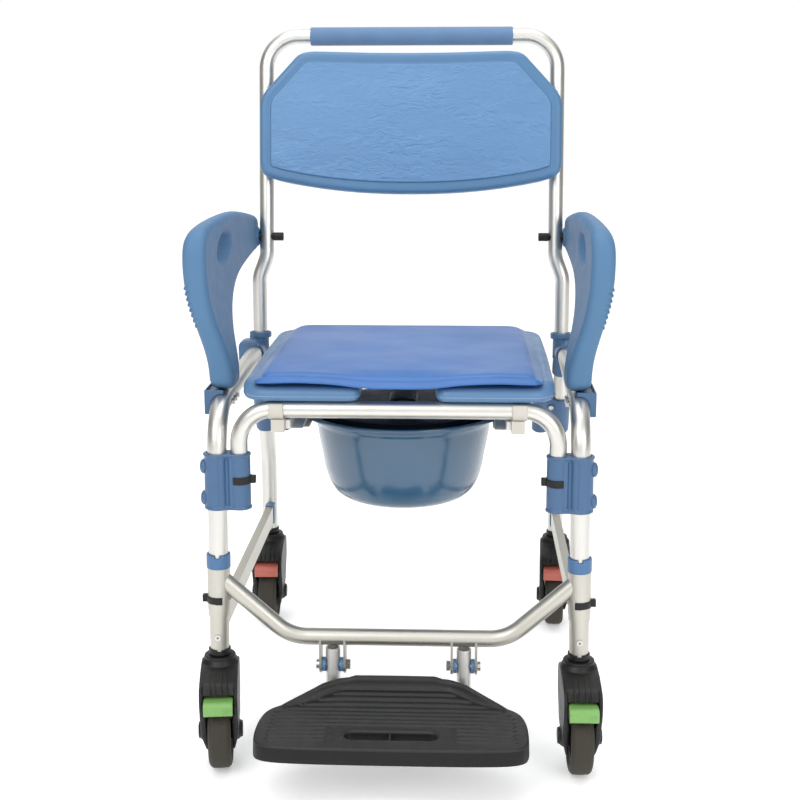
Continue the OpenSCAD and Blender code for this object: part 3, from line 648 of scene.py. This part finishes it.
def backrest():
    # half outline from the middle of the lower edge round to the middle of the top
    low = [[x, 92.0 + 22.5 * (x / 212.0) ** 2.2] for x in range(0, 201, 20)]
    half = low + [[226, 120], [232, 134], [232, 240], [171, 306], [152, 309], [60, 306.5], [0, 306]]
    rad = [0] * len(low) + [12, 16, 17, 14, 10, 10, 0]
    full = half + [[-p[0], p[1]] for p in half[-2:0:-1]]
    rads = rad + rad[-2:0:-1]
    loop = resample(rounded(full, rads), 4.5)
    rec = math.radians(-8.5)
    def to3(p, h):
        ly, lz = -h, p[:, 1]
        y = 447 + ly * math.cos(rec) - lz * math.sin(rec)
        z = 624 + ly * math.sin(rec) + lz * math.cos(rec)
        return np.stack([p[:, 0] * MM, (y + YS) * MM, z * MM], 1)
    def front(p, d):
        band = 34.6 - 0.5 * smoothstep(9, 16, d)
        step = 2.1 * smoothstep(16.4, 18.2, d)
        crown = 2.2 * np.clip(1 - (p[:, 0] / 215) ** 2, 0, 1) * np.clip(1 - ((p[:, 1] - 200) / 96) ** 2, 0, 1)
        return band + step + crown * smoothstep(18, 60, d)
    def back(p, d):
        return 12.0 + 1.6 * smoothstep(20, 26, d)
    # the border band, back and rim take the darker edge blue, partly painted shade; the raised inner panel takes the
    # wrinkled blue
    ob = slab("backrest_shell", loop, front, back, 7.5, 6.0, to3, MAT["backrest_edge_partly_shaded"], step=5.0,
              rings=(9.5, 12.5, 15.2, 16.2, 16.8, 17.3, 17.8, 18.4, 19.6, 22.5), arc=6, mats=[MAT["backrest_plastic"]],
              pick=lambda part, c, q: 1 if (part == 0 and q > 18.3) else 0)
    put(ob, "root", "backrest_plastic", "backrest_panel")

backrest()

# ---------------------------------------------------------------- armrests
ARM_SIDE = [[47, 488.6], [43, 520], [26, 560], [4, 604], [-6, 650], [0, 700], [60, 709], [250, 708], [360, 697],
            [438, 687], [455, 684.5], [463.5, 679], [466, 668], [466, 646], [462.5, 635], [452, 631], [420, 630.5], [300, 622], [232, 612], [180, 594],
            [136, 566], [110, 532], [104, 508], [103, 488.6]]
ARM_IN = [[488, 216.5], [512, 216.5], [528, 218.5], [560, 227], [590, 234], [620, 238.4], [650, 239.8], [712, 240.2]]
ARM_OUT = [[488, 249.5], [520, 250], [540, 252.2], [570, 258.5], [600, 265], [630, 269.4], [665, 270.8], [685, 270.0], [700, 267.4], [712, 262]]

def armrest(s, name):
    loop = resample(smooth_loop(ARM_SIDE, 3), lambda y, z: 1.3 if (y < 60 and 560 < z < 650) else 5.0)
    zi, xi = np.array(ARM_IN).T
    zo, xo = np.array(ARM_OUT).T
    def sm(z, zs, xs):
        # a running mean keeps the lofted sides fair
        return np.mean([np.interp(z + k, zs, xs) for k in (-14, -9, -4, 0, 4, 9, 14)], 0)
    def outer(p, d):
        return sm(p[:, 1], zo, xo)
    def inner(p, d):
        h = sm(p[:, 1], zi, xi)
        # thumb recess: a teardrop with soft sides
        a = (p[:, 0] - 140) / 62.0
        b = (p[:, 1] - 668 - 6 * np.clip(a, -1, 1)) / (22.0 * (1.0 - 0.10 * a))
        q = np.sqrt(a * a + b * b)
        return h + 12.0 * (1 - smoothstep(0.50, 0.98, q)) - 0.7 * np.exp(-((q - 1.08) / 0.08) ** 2)
    def to3(p, h):
        return np.stack([s * h * MM, (p[:, 0] + YS) * MM, p[:, 1] * MM], 1)
    ob = slab("armrest_shell_" + name, loop, outer, inner, 11.5, 10.0, to3, MAT["armrest_plastic"], step=4.5,
              rings=(), arc=7)
    # finger ribs on the outer front edge
    me = ob.data
    n = len(me.vertices)
    co = np.empty(n * 3); me.vertices.foreach_get("co", co); co = co.reshape(-1, 3)
    no = np.empty(n * 3); me.vertex_normals.foreach_get("vector", no); no = no.reshape(-1, 3)
    x, y, z = s * co[:, 0] / MM, co[:, 1] / MM - YS, co[:, 2] / MM
    wz = smoothstep(573, 577, z) * (1 - smoothstep(631, 635, z))
    edge = -no[:, 1] * 0.55 + s * no[:, 0] * 0.83
    w = wz * smoothstep(0.72, 0.96, edge) * (y < 60)
    rib = np.abs(np.sin(math.pi * (z - 575) / 7.3)) ** 1.4
    co += no * (w * (rib * 2.9 - 1.0))[:, None] * MM
    me.vertices.foreach_set("co", co.reshape(-1))
    me.update()
    boss = lathe("arm_boss_" + name, fillet([(0, 237.1), (13.0, 237.1), (15.0, 239.0), (15.0, 246.0), (0, 246.0)], 1.2), MAT["armrest_plastic"], (0, 0, 0), axis="x", n=48)
    for v in boss.data.vertices:
        x, y, z = v.co.x / MM, v.co.y / MM - YS, v.co.z / MM
        v.co = W(s * x, y + 447.5, z + 652)
    boss.data.update()
    if s < 0:
        boss.data.flip_normals()
    ob = join("armrest_body_" + name, [ob, boss])
    put(ob, "arm_" + name, "armrest_plastic", "armrest_" + name)

armrest(-1, "left")
armrest(1, "right")

# ---------------------------------------------------------------- seat board
def seat_board():
    lo, hi = 488.0, 511.0
    outer = [[48, -9], [110, -10], [168, -11], [196, -10], [199, 6], [199, 70], [201, 200], [203, 330], [202, 392], [190, 414], [160, 418], [0, 418]]
    def arc_pts():
        a0 = math.asin(48 / 112.0)
        return [[112 * math.sin(a), 182 - 112 * math.cos(a)] for a in np.linspace(a0, math.pi, 40)]
    # the outer side, smoothed as an open line with round corners
    def corner(pts, rads):
        out = []
        for i, p in enumerate(pts):
            if rads[i] == 0:
                out.append(p); continue
            a, b, c = np.array(pts[i - 1], float), np.array(p, float), np.array(pts[(i + 1) % len(pts)], float)
            u, v = (a - b) / np.linalg.norm(a - b), (c - b) / np.linalg.norm(c - b)
            t = rads[i]
            for k in range(9):
                q = k / 8
                out.append(list((b + u * t) * (1 - q) ** 2 + b * 2 * q * (1 - q) + (b + v * t) * q * q))
        return out
    arc = arc_pts()
    right = corner([arc[0], [48, -10.5], [199.5, -11], [203, 230], [202, 417.5], [0, 418]], [0, 17, 38, 60, 42, 0])
    loop = right + [[-x, y] for x, y in reversed(right[:-1])] + [[-x, y] for x, y in arc[1:]] + [[x, y] for x, y in reversed(arc[1:-1])]
    loop = resample(loop, 4.0)
    def top(p, d):
        out = np.maximum(np.abs(p[:, 0]) / 1.0, 0)
        rim = -0.9 * (smoothstep(11.0, 13.0, d) - smoothstep(14.0, 16.0, d)) * (np.abs(p[:, 0]) > 150)
        fall = -5.2 * smoothstep(30, -10, p[:, 1])
        return hi + rim + fall
    def bottom(p, d):
        return lo + 2.5 * smoothstep(10, 14, d)
    def to3(p, h):
        return np.stack([p[:, 0] * MM, (p[:, 1] + YS) * MM, h * MM], 1)
    ob = slab("seat_board_shell", loop, top, bottom, 9.0, 7.5, to3, MAT["blue_plastic"], step=7.0, rings=(11.0, 12.2, 13.5, 15.0), arc=6)
    # the parting line left by the mould, low on the edge; the band is coloured a lighter blue than the board, a painted
    # highlight
    t = np.roll(loop, -1, axis=0) - np.roll(loop, 1, axis=0)
    t /= np.linalg.norm(t, axis=1)[:, None]
    nrm = np.stack([t[:, 1], -t[:, 0]], 1)
    if not inside([loop], (loop - nrm)[:1])[0]:
        nrm = -nrm
    seam = slab("seat_board_seam", [loop + nrm * 0.35, loop - nrm * 2.5], lambda p, d: 495.5 + 0 * d, lambda p, d: 494.5 + 0 * d, 0.3, 0.3, to3,
                MAT["board_seam_painted_highlight"], step=2.5, arc=2)
    ob = join("seat_board_moulding", [ob, seam])
    put(ob, "root", "blue_plastic", "seat_board")

seat_board()

# ---------------------------------------------------------------- cushion
def cushion():
    hw = [[0, -14], [60, -14.5], [120, -14], [170, -13], [181, -9], [184, 2], [184, 80], [184, 250], [182, 384], [174, 399], [150, 402], [60, 402.5], [0, 402.5]]
    full = hw + [[-p[0], p[1]] for p in hw[-2:0:-1]]
    loop = resample(smooth_loop(full, 3), 4.0)
    t = np.roll(loop, -1, axis=0) - np.roll(loop, 1, axis=0)
    t /= np.linalg.norm(t, axis=1)[:, None]
    nrm = np.stack([t[:, 1], -t[:, 0]], 1)
    if not inside([loop], (loop - nrm)[:1])[0]:
        nrm = -nrm
    lo, hi = 511.45, 519.4
    def lift(x, y):
        """The thin front edge sags in the middle and stands off the board at the thirds."""
        f = smoothstep(80, -14, y)
        g = smoothstep(36, -14, y)
        return f * 1.7 * np.exp(-((np.abs(x) - 128) / 36) ** 2) - g * 5.4 * np.exp(-(x / 66) ** 4)
    def to3(p, h):
        return np.stack([p[:, 0] * MM, (p[:, 1] + YS) * MM, h * MM], 1)
    pad = resample(loop - nrm * 6.5, 5.0)
    ob = slab("cushion_pad", pad, lambda p, d: hi + 0 * d, lambda p, d: lo + 0 * d, 2.2, 1.6, to3, MAT["cushion_skin"], step=9.0, arc=3)
    me = ob.data
    vg = ob.modifiers.new("vox", "REMESH")
    vg.mode = "VOXEL"
    vg.voxel_size = 0.0040
    deps = bpy.context.evaluated_depsgraph_get()
    me = bpy.data.meshes.new_from_object(ob.evaluated_get(deps))
    ob.modifiers.clear()
    ob.data = me
    base = np.empty(len(me.vertices) * 3); me.vertices.foreach_get("co", base); base = base.reshape(-1, 3)
    cl = ob.modifiers.new("cloth", "CLOTH")
    st = cl.settings
    st.quality = 5
    st.mass = 0.3
    st.use_pressure = True
    st.uniform_pressure_force = 4.0
    st.tension_stiffness = st.compression_stiffness = 18
    st.shear_stiffness = 8
    st.bending_stiffness = 2.0
    st.effector_weights.gravity = 0.0
    cl.point_cache.frame_start = 1
    cl.point_cache.frame_end = 20
    for fr in range(1, 21):
        scene.frame_set(fr)
    deps = bpy.context.evaluated_depsgraph_get()
    sim = bpy.data.meshes.new_from_object(ob.evaluated_get(deps))
    got = np.empty(len(sim.vertices) * 3); sim.vertices.foreach_get("co", got); got = got.reshape(-1, 3)
    ob.modifiers.clear()
    scene.frame_set(1)
    if len(got) == len(base) and np.isfinite(got).all():
        mv = got - base
        mv[:, :2] *= 0.08
        ln = np.linalg.norm(mv, axis=1)
        k = np.minimum(1.0, 0.0045 / np.maximum(ln, 1e-9))
        co = base + mv * k[:, None]
    else:
        co = base.copy()
    # it rests flat on the board and keeps its height
    co[:, 2] = np.clip(co[:, 2], lo * MM, (hi + 3.4) * MM)
    me.vertices.foreach_set("co", co.reshape(-1))
    me.update()
    bpy.data.meshes.remove(sim)
    # fair the skin with a few passes of averaging
    bm = bmesh.new(); bm.from_mesh(me)
    for _ in range(3):
        bmesh.ops.smooth_vert(bm, verts=bm.verts, factor=0.5, use_axis_x=True, use_axis_y=True, use_axis_z=True)
    bm.to_mesh(me); bm.free()
    me.materials.clear(); me.materials.append(MAT["cushion_skin"])
    me.polygons.foreach_set("use_smooth", [True] * len(me.polygons))
    co = np.empty(len(me.vertices) * 3); me.vertices.foreach_get("co", co); co = co.reshape(-1, 3)
    co[:, 2] += lift(co[:, 0] / MM, co[:, 1] / MM - YS) * MM
    me.vertices.foreach_set("co", co.reshape(-1))
    me.update()
    sub = ob.modifiers.new("sub", "SUBSURF")
    sub.levels = sub.render_levels = 1
    put(ob, "cushion", "cushion_skin", "seat_cushion")
    # the welded border: a bevel rising from the thin edge to the pad; its top on the sides and rear is coloured a
    # lighter blue, a painted highlight
    def btop(p, d):
        q = dist_to([loop], p)
        return 514.4 + 4.0 * np.clip((q - 1.5) / 8.0, 0, 1) - 0.5 * smoothstep(9.6, 11.5, q) + lift(p[:, 0], p[:, 1])
    def bbot(p, d):
        return lo + lift(p[:, 0], p[:, 1])
    band = slab("cushion_edge_band", [loop, resample(loop - nrm * 13.0, 4.0)], btop, bbot, 1.3, 1.1, to3, MAT["cushion_band_painted_highlight"], step=3.0,
                rings=(2.2, 4.0, 6.0), arc=3, mats=[MAT["cushion_skin"]],
                pick=lambda part, c, d: 1 if (c[1] < -4 or part) else 0)
    put(band, "cushion", "cushion_skin")
    return ob

cushion()

# ---------------------------------------------------------------- pan and lid
def pan():
    fz = 432.3
    b = 312.5
    out = [(0, b), (40, b), (56, b + 0.3), (70, b + 1.2), (82, b + 3.6), (92, b + 8.4), (99.5, b + 16), (104.5, b + 25), (108.5, b + 36),
           (111.8, 362), (114.8, 380), (118, 396), (120.2, 410), (121.2, 420), (121.6, 424), (123.0, 425.4), (123.2, 428.5), (123.6, fz - 1.2), (125.6, fz)]
    rim = [(134.5, fz), (136.8, fz + 0.8), (137.4, fz + 3), (137.3, fz + 5.4), (136.2, fz + 6.8), (134.6, fz + 6.9), (133.6, fz + 5.6), (133.0, fz + 3.4), (131.5, fz + 3.0)]
    inn = [(122.5, fz + 3.0), (120.4, fz + 2.4), (119.2, fz + 0.4), (118.9, 424), (117.8, 410), (115.6, 396), (112.4, 380), (109.4, 362),
           (106.0, b + 37), (102.2, b + 27), (97.6, b + 18.5), (90.6, b + 11), (81, b + 6.4), (70, b + 4.0), (56, b + 3.0), (40, b + 2.7), (0, b + 2.7)]
    ob = lathe("pan_bowl", out + rim + inn, MAT["pan_plastic"], (0, 182, 0), n=144)
    put(ob, "pan", "pan_plastic", "commode_pan")

pan()

# ---------------------------------------------------------------- footplate
def footplate():
    half = [[0, -12], [66, -12], [78, -14], [110, -32], [157, -55], [170, -86], [171, -146], [162, -166], [120, -172], [0, -173]]
    full = half + [[-p[0], p[1]] for p in half[-2:0:-1]]
    loop = resample(smooth_loop(full, 3), 3.0)
    slot = []
    for k in range(32):
        a = 2 * math.pi * (k + 0.5) / 32
        slot.append([46.5 * (1 if math.cos(a) >= 0 else -1) + 11.0 * math.cos(a), -133 + 11.0 * math.sin(a)])
    slot = resample(slot, 2.5)[::-1].copy()
    fx = np.array([0, 52, 62, 69, 94, 148, 200.0])
    fh = np.array([26.4, 26.2, 23.0, 22.4, 19.4, -0.5, -0.5])
    rows = [-31.0 - 10.9 * k for k in range(13)]
    def top(p, d):
        x, y = np.abs(p[:, 0]), p[:, 1]
        do = dist_to([loop], p)
        rear = (y > -70)
        H = np.interp(x, fx, fh)
        H = np.maximum(H, 0)
        wall = (1 - smoothstep(6.0, 10.5, do)) * rear
        ramp = 8.6 * smoothstep(-66, -18, y) * smoothstep(150, 60, x)
        h = 95 + np.maximum(H * wall, ramp)
        fence = wall * (H > 6)
        # grooves across the tread, kept off the rim and the slot
        g = np.zeros(len(p))
        for i, ry in enumerate(rows):
            g = np.maximum(g, np.exp(-((y - ry) / 2.3) ** 4))
        margin = smoothstep(13.5, 15.5, do) * (1 - smoothstep(150, 152, x))
        near = ((y < -112) & (y > -150))
        clear = np.where(near, smoothstep(78, 80, x), 1.0)
        front = np.where(y < -150, smoothstep(78, 80, x), 1.0)
        h = h - 2.7 * g * margin * clear * front * (1 - smoothstep(0.02, 0.2, wall * (H > 1)))
        # the rim of the slot is a shallow dish
        ds = dist_to([slot], p)
        h = h - 1.0 * (1 - smoothstep(1.0, 7.0, ds))
        return h
    def bottom(p, d):
        do = dist_to([loop], p)
        ds = dist_to([slot], p)
        near = np.minimum(do, ds)
        deep = smoothstep(3.6, 4.6, near)
        return 73 + 17.5 * deep
    def to3(p, h):
        # a slight draft: the skirt is wider at the bottom
        k = 1 + 0.006 * np.clip((95 - h) / 22, 0, 1)
        return np.stack([(p[:, 0] * k - 3.5) * MM, (p[:, 1] + YS) * MM, h * MM], 1)
    # the underside and the side skirt take the darker footplate copy: painted shade
    ob = slab("footplate_tread", [loop, slot], top, bottom, 3.2, 0.8, to3, MAT["footplate_plastic"], step=(6.0, 1.15), rings=(4.2, 6.0, 7.5, 9.0, 10.5), arc=4,
              mats=[MAT["footplate_skirt_painted_shade"]], pick=lambda part, c, d: 1 if part else 0)
    rib = slab("footplate_slot_rib", resample(np.array([[-6.0, -145.0], [-3.6, -145.0], [-3.6, -121.0], [-6.0, -121.0]]), 1.0),
               lambda p, d: 92.5 + 0 * d, lambda p, d: 74.5 + 0 * d, 0.5, 0.3, lambda p, h: np.stack([p[:, 0] * MM, (p[:, 1] + YS) * MM, h * MM], 1), MAT["footplate_plastic"], step=1.2, arc=2)
    ob = join("footplate_tread_plate", [ob, rib])
    for p in ob.data.polygons:
        p.use_smooth = True
    put(ob, "footrest", "black_plastic", "footplate")

footplate()

# ---------------------------------------------------------------- carried-over CAD nodes
def dress(node, mat=None):
    ob = N[node]
    ob.data.materials.clear()
    ob.data.materials.append(mat or material_for(node))
    for p in ob.data.polygons:
        p.material_index = 0
    return ob

def soften(node, voxel=1.2, it=4, factor=0.5, mat=None):
    """Moulded pieces get small radii on every edge."""
    ob = dress(node, mat)
    r = ob.modifiers.new("cast", "REMESH")
    r.mode = "VOXEL"
    r.voxel_size = voxel * MM
    r.use_smooth_shade = True
    s = ob.modifiers.new("ease", "SMOOTH")
    s.factor = factor
    s.iterations = it
    return ob

def soft_copy(node, voxel, it, factor, form, axes=None, extra=(), mat=None):
    """A moulded piece with small radii, its surface then shaped by form, given in the piece's own axes (mm)."""
    ob = soften(node, voxel, it, factor, mat)
    bpy.context.view_layer.update()
    deps = bpy.context.evaluated_depsgraph_get()
    me = bpy.data.meshes.new_from_object(ob.evaluated_get(deps))
    ob.modifiers.clear()
    mw = np.array(ob.matrix_world)
    ax = np.array(axes if axes is not None else Matrix.Translation((0, YS * MM, 0)))
    inv = np.linalg.inv(ax)
    co = np.empty(len(me.vertices) * 3); me.vertices.foreach_get("co", co); co = co.reshape(-1, 3)
    w = co @ mw[:3, :3].T + mw[:3, 3]
    l = (w @ inv[:3, :3].T + inv[:3, 3]) / MM
    l = np.stack(form(*l.T), 1) * MM
    w = l @ ax[:3, :3].T + ax[:3, 3]
    me.vertices.foreach_set("co", w.reshape(-1))
    me.polygons.foreach_set("use_smooth", [True] * len(me.polygons))
    me.materials.clear(); me.materials.append(mat or material_for(node))
    me.update()
    new = bpy.data.objects.new(node + "_moulded", me)
    scene.collection.objects.link(new)
    if extra:
        new = join(node + "_moulded_set", [new] + list(extra))
    return put(new, BODY_OF[node], SLOT_OF[node], node)

def to_axes(ob, axes):
    """Move a piece built by lathe in layout axes (origin at the row origin) into other axes."""
    for v in ob.data.vertices:
        q = Vector((v.co.x, v.co.y - YS * MM, v.co.z))
        v.co = axes @ q
    ob.data.update()
    return ob

def prism(name, outline, x0, x1, axes, mat):
    """A bar of constant section along x; outline is [(y, z)] in millimetres."""
    n = len(outline)
    vs = [axes @ Vector((x * MM, y * MM, z * MM)) for x in (x0, x1) for y, z in outline]
    fs = [tuple(range(n)), tuple(range(2 * n - 1, n - 1, -1))] + [(i, (i + 1) % n, n + (i + 1) % n, n + i) for i in range(n)]
    return mesh_object(name, vs, fs, mat, smooth=False)

def castor_axes(k):
    p, a = JOINT["castor_%s_swivel" % k]["pos_m"], JOINT["wheel_%s_spin" % k]["axis"]
    return Matrix(((a[0], -a[1], 0, p[0]), (a[1], a[0], 0, p[1]), (0, 0, 1, 0), (0, 0, 0, 1)))

def fork_form(x, y, z):
    ax, sg = np.abs(x), np.where(x < 0, -1.0, 1.0)
    da = np.hypot(y + 33, z - 50)
    zc = np.interp(y, [-60, -42, -36], [80.5, 86, 104])
    low = 1 - smoothstep(0, 1, (z - zc + 5) / 9)
    inner = 18 + (15.9 + 1.5 * (1 - smoothstep(13, 18, da)) - 18) * low
    tip = np.interp(z, [24, 30, 42, 52, 62], [18.2, 19.0, 21.6, 23.7, 24.7])
    outer = tip + (24.7 - tip) * (1 - smoothstep(12.6, 15.0, da))
    a = np.where(ax < 18, ax * inner / 18, np.where(ax < 24.7, inner + (ax - 18) / 6.7 * (outer - inner), outer + ax - 24.7))
    lip = 6.0 * smoothstep(-56, -68, y) * (1 - smoothstep(119, 129, z)) * smoothstep(113, 118, z) * (ax < 20.5)
    return sg * a, y, z - 3.0 * smoothstep(128, 145, z) - lip

def pedal_form(x, y, z):
    m = smoothstep(4, 6, x) * (1 - smoothstep(14.5, 16, x)) * smoothstep(95.5, 97, z) * (1 - smoothstep(109, 111, z)) * (y < -85)
    r = np.maximum(0, np.cos(2 * math.pi * (z - 0.42 * (x - 6)) / 4.4)) ** 1.5
    drop_ = z - np.interp(z, [92, 104, 117, 120], [92, 100.2, 109.4, 112.4])
    return x, y - 0.9 * m * r, z - drop_ * smoothstep(-50, -64, y)

def socket_form(x, y, z):
    return x, y, z - np.interp(z, [146.6, 150, 157.6, 166], [3.0, 3.0, 5.4, 0.0])

for k in ("front_left", "front_right", "rear_left", "rear_right"):
    A = castor_axes(k)
    black = MAT["black_plastic"]
    cup = lathe("fork_cup_" + k, fillet([(12.0, 120.0), (24.3, 120.4), (24.7, 124.6), (23.7, 125.6), (23.5, 134.6), (21.0, 136.2), (20.7, 142.2), (19.4, 143.0), (12.0, 143.1)], 0.9), black, n=64)
    to_axes(cup, A)
    ribs = [prism("fork_rib_%s_%d" % (k, i), [(-27, 131), (-50, 126), (-72.6, 120.6), (-75.2, 115.4), (-77.2, 116.4), (-75.8, 121.2), (-50.3, 129.3), (-27, 133.8)], x - 0.8, x + 0.8, A, black)
            for i, x in enumerate((-11, -4, 4, 11))]
    soft_copy("castor_fork_" + k, 1.3, 4, 0.5, fork_form, A, [cup] + ribs)
    soft_copy("brake_pedal_" + k, 0.85, 4, 0.5, pedal_form, A)
soft_copy("castor_sockets", 0.8, 3, 0.5, socket_form)

def clamp_form(x, y, z):
    ax = np.abs(x)
    body = smoothstep(349.5, 351.5, z) * (1 - smoothstep(412, 414, z)) * (y < -5)
    g = np.exp(-((ax - 219.4) / 2.6) ** 4) + 0.35 * np.exp(-((ax - 228.6) / 1.4) ** 2)
    return x, y + 3.0 * g * body, z

for sd in ("left", "right"):
    soft_copy("front_clamp_" + sd, 0.9, 3, 0.5, clamp_form)

def frame_screws():
    """Steel heads on the legs and rails; the clamp screws sit under domed caps."""
    src = dress("frame_screws")
    bpy.context.view_layer.update()
    bm = bmesh.new(); bm.from_mesh(src.data)
    bm.transform(src.matrix_world)
    gone = [v for v in bm.verts if abs(v.co.x) > 0.2502 and 0.350 < v.co.z < 0.406]
    bmesh.ops.delete(bm, geom=gone, context="VERTS")
    heads = [v.co.copy() for v in bm.verts if 0.160 < v.co.z < 0.180 and v.co.y / MM - YS < -12]
    me = bpy.data.meshes.new("frame_screw_heads")
    bm.to_mesh(me); bm.free()
    me.materials.clear(); me.materials.append(MAT["screw_steel"])
    base = bpy.data.objects.new("frame_screw_heads", me)
    scene.collection.objects.link(base)
    parts = [base]
    for sgn in (-1, 1):
        for i, z in enumerate((358.6, 400.6)):
            dome = lathe("clamp_cap_%d_%d" % (sgn + 1, i), [(0, 246.0), (9.6, 246.0), (9.8, 250.2), (9.4, 252.0), (8.2, 253.6), (6.0, 254.8), (3.0, 255.4), (0, 255.5)],
                         MAT["clamp_plastic"], axis="x", n=40)
            for v in dome.data.vertices:
                v.co = Vector((sgn * v.co.x, v.co.y, v.co.z + z * MM))
            if sgn < 0:
                dome.data.flip_normals()
            parts.append(dome)
        hs = [h for h in heads if h.x * sgn > 0]
        if hs:
            cx = sum(h.x for h in hs) / len(hs); cz = sum(h.z for h in hs) / len(hs); fy = min(h.y for h in hs)
            # a dark cross on each leg screw head: painted shade for the screw's cross recess
            for i, (w, h) in enumerate(((1.9, 0.42), (0.42, 1.9))):
                vs = [Vector((cx + a * w * MM, fy + b * MM, cz + c * h * MM)) for b in (-0.12, 0.3) for a, c in ((-1, -1), (1, -1), (1, 1), (-1, 1))]
                fs = [(0, 1, 2, 3), (7, 6, 5, 4), (0, 4, 5, 1), (1, 5, 6, 2), (2, 6, 7, 3), (3, 7, 4, 0)]
                parts.append(mesh_object("leg_screw_recess_%d_%d" % (sgn + 1, i), vs, fs, MAT["recess_painted_shade"], smooth=False))
    put(join("frame_screw_set", parts), "root", "screw_steel", "frame_screws")

frame_screws()

def back_joint(sd, sgn):
    """The cast joint carries a rounded lug facing forwards and a ring under the back tube."""
    out = []
    w, h = 15.5, 18.0
    ol = rounded([[-w, -h], [w, -h], [w, h], [-w, h]], [5, 5, 12, 12])
    lug = slab("back_lug_" + sd, resample(np.array(ol, float), 1.5), lambda p, d: 421 + 0 * d, lambda p, d: 391.0 + 0 * d, 2.0, 3.2,
               lambda p, y: np.stack([sgn * (250.5 + p[:, 0]) * MM, (y + YS - 0.10 * p[:, 1]) * MM, (477.5 + p[:, 1]) * MM], 1), MAT["clamp_plastic"], step=3.0, arc=4)
    out.append(lug)
    # two dark discs on the lug: painted shade standing in for its holes
    for i, (dx, dz) in enumerate(((-3.0, 7.0), (3.0, -4.5))):
        dot = lathe("back_lug_hole_%s_%d" % (sd, i), [(0, 389.9), (1.5, 389.9), (1.5, 394.0), (0, 394.0)], MAT["recess_painted_shade"], axis="y", n=20)
        for v in dot.data.vertices:
            v.co = Vector((sgn * (250.5 + dx) * MM + v.co.x, v.co.y - 0.10 * dz * MM + 0.0003, v.co.z + (477.5 + dz) * MM))
        out.append(dot)
    a = math.atan2(441.5 - 438.0, 112.0)
    ring = lathe("back_ring_" + sd, fillet([(12.8, 24.0), (16.6, 24.0), (17.2, 25.4), (17.2, 31.6), (16.4, 33.0), (12.8, 33.0)], 0.6), MAT["clamp_plastic"],
                 rot=Matrix.Rotation(-a, 4, "X"), n=56)
    for v in ring.data.vertices:
        v.co = v.co + Vector((sgn * 0.2375, 0.438, 0.4700))
    out.append(ring)
    soft_copy("back_joint_" + sd, 1.1, 4, 0.5, lambda x, y, z: (x, y, z), None, out)

back_joint("left", -1)
back_joint("right", 1)

done = {n for n in N if n.startswith(("castor_fork", "brake_pedal", "front_clamp", "back_joint"))} | {"castor_sockets", "frame_screws"}
for name in N:
    if name in done:
        continue
    if name.startswith("rear_clamp"):
        soften(name, 1.1, 4); done.add(name)
    elif name == "leg_collars":
        soften(name, 0.8, 4, mat=MAT["collar_plastic"]); done.add(name)
    elif name in ("strut_end_caps", "snap_clips", "arm_pivot_bolts", "seat_rail_clips"):
        soften(name, 0.8, 4); done.add(name)
    elif name in ("arm_socket_left", "arm_socket_right", "pan_slides"):
        soften(name, 0.9, 3); done.add(name)
    elif name in ("push_grip",):
        soften(name, 1.3, 6); done.add(name)
for name in N:
    if name not in done:
        dress(name)
dress("footrest_arms", MAT["foot_tube"])
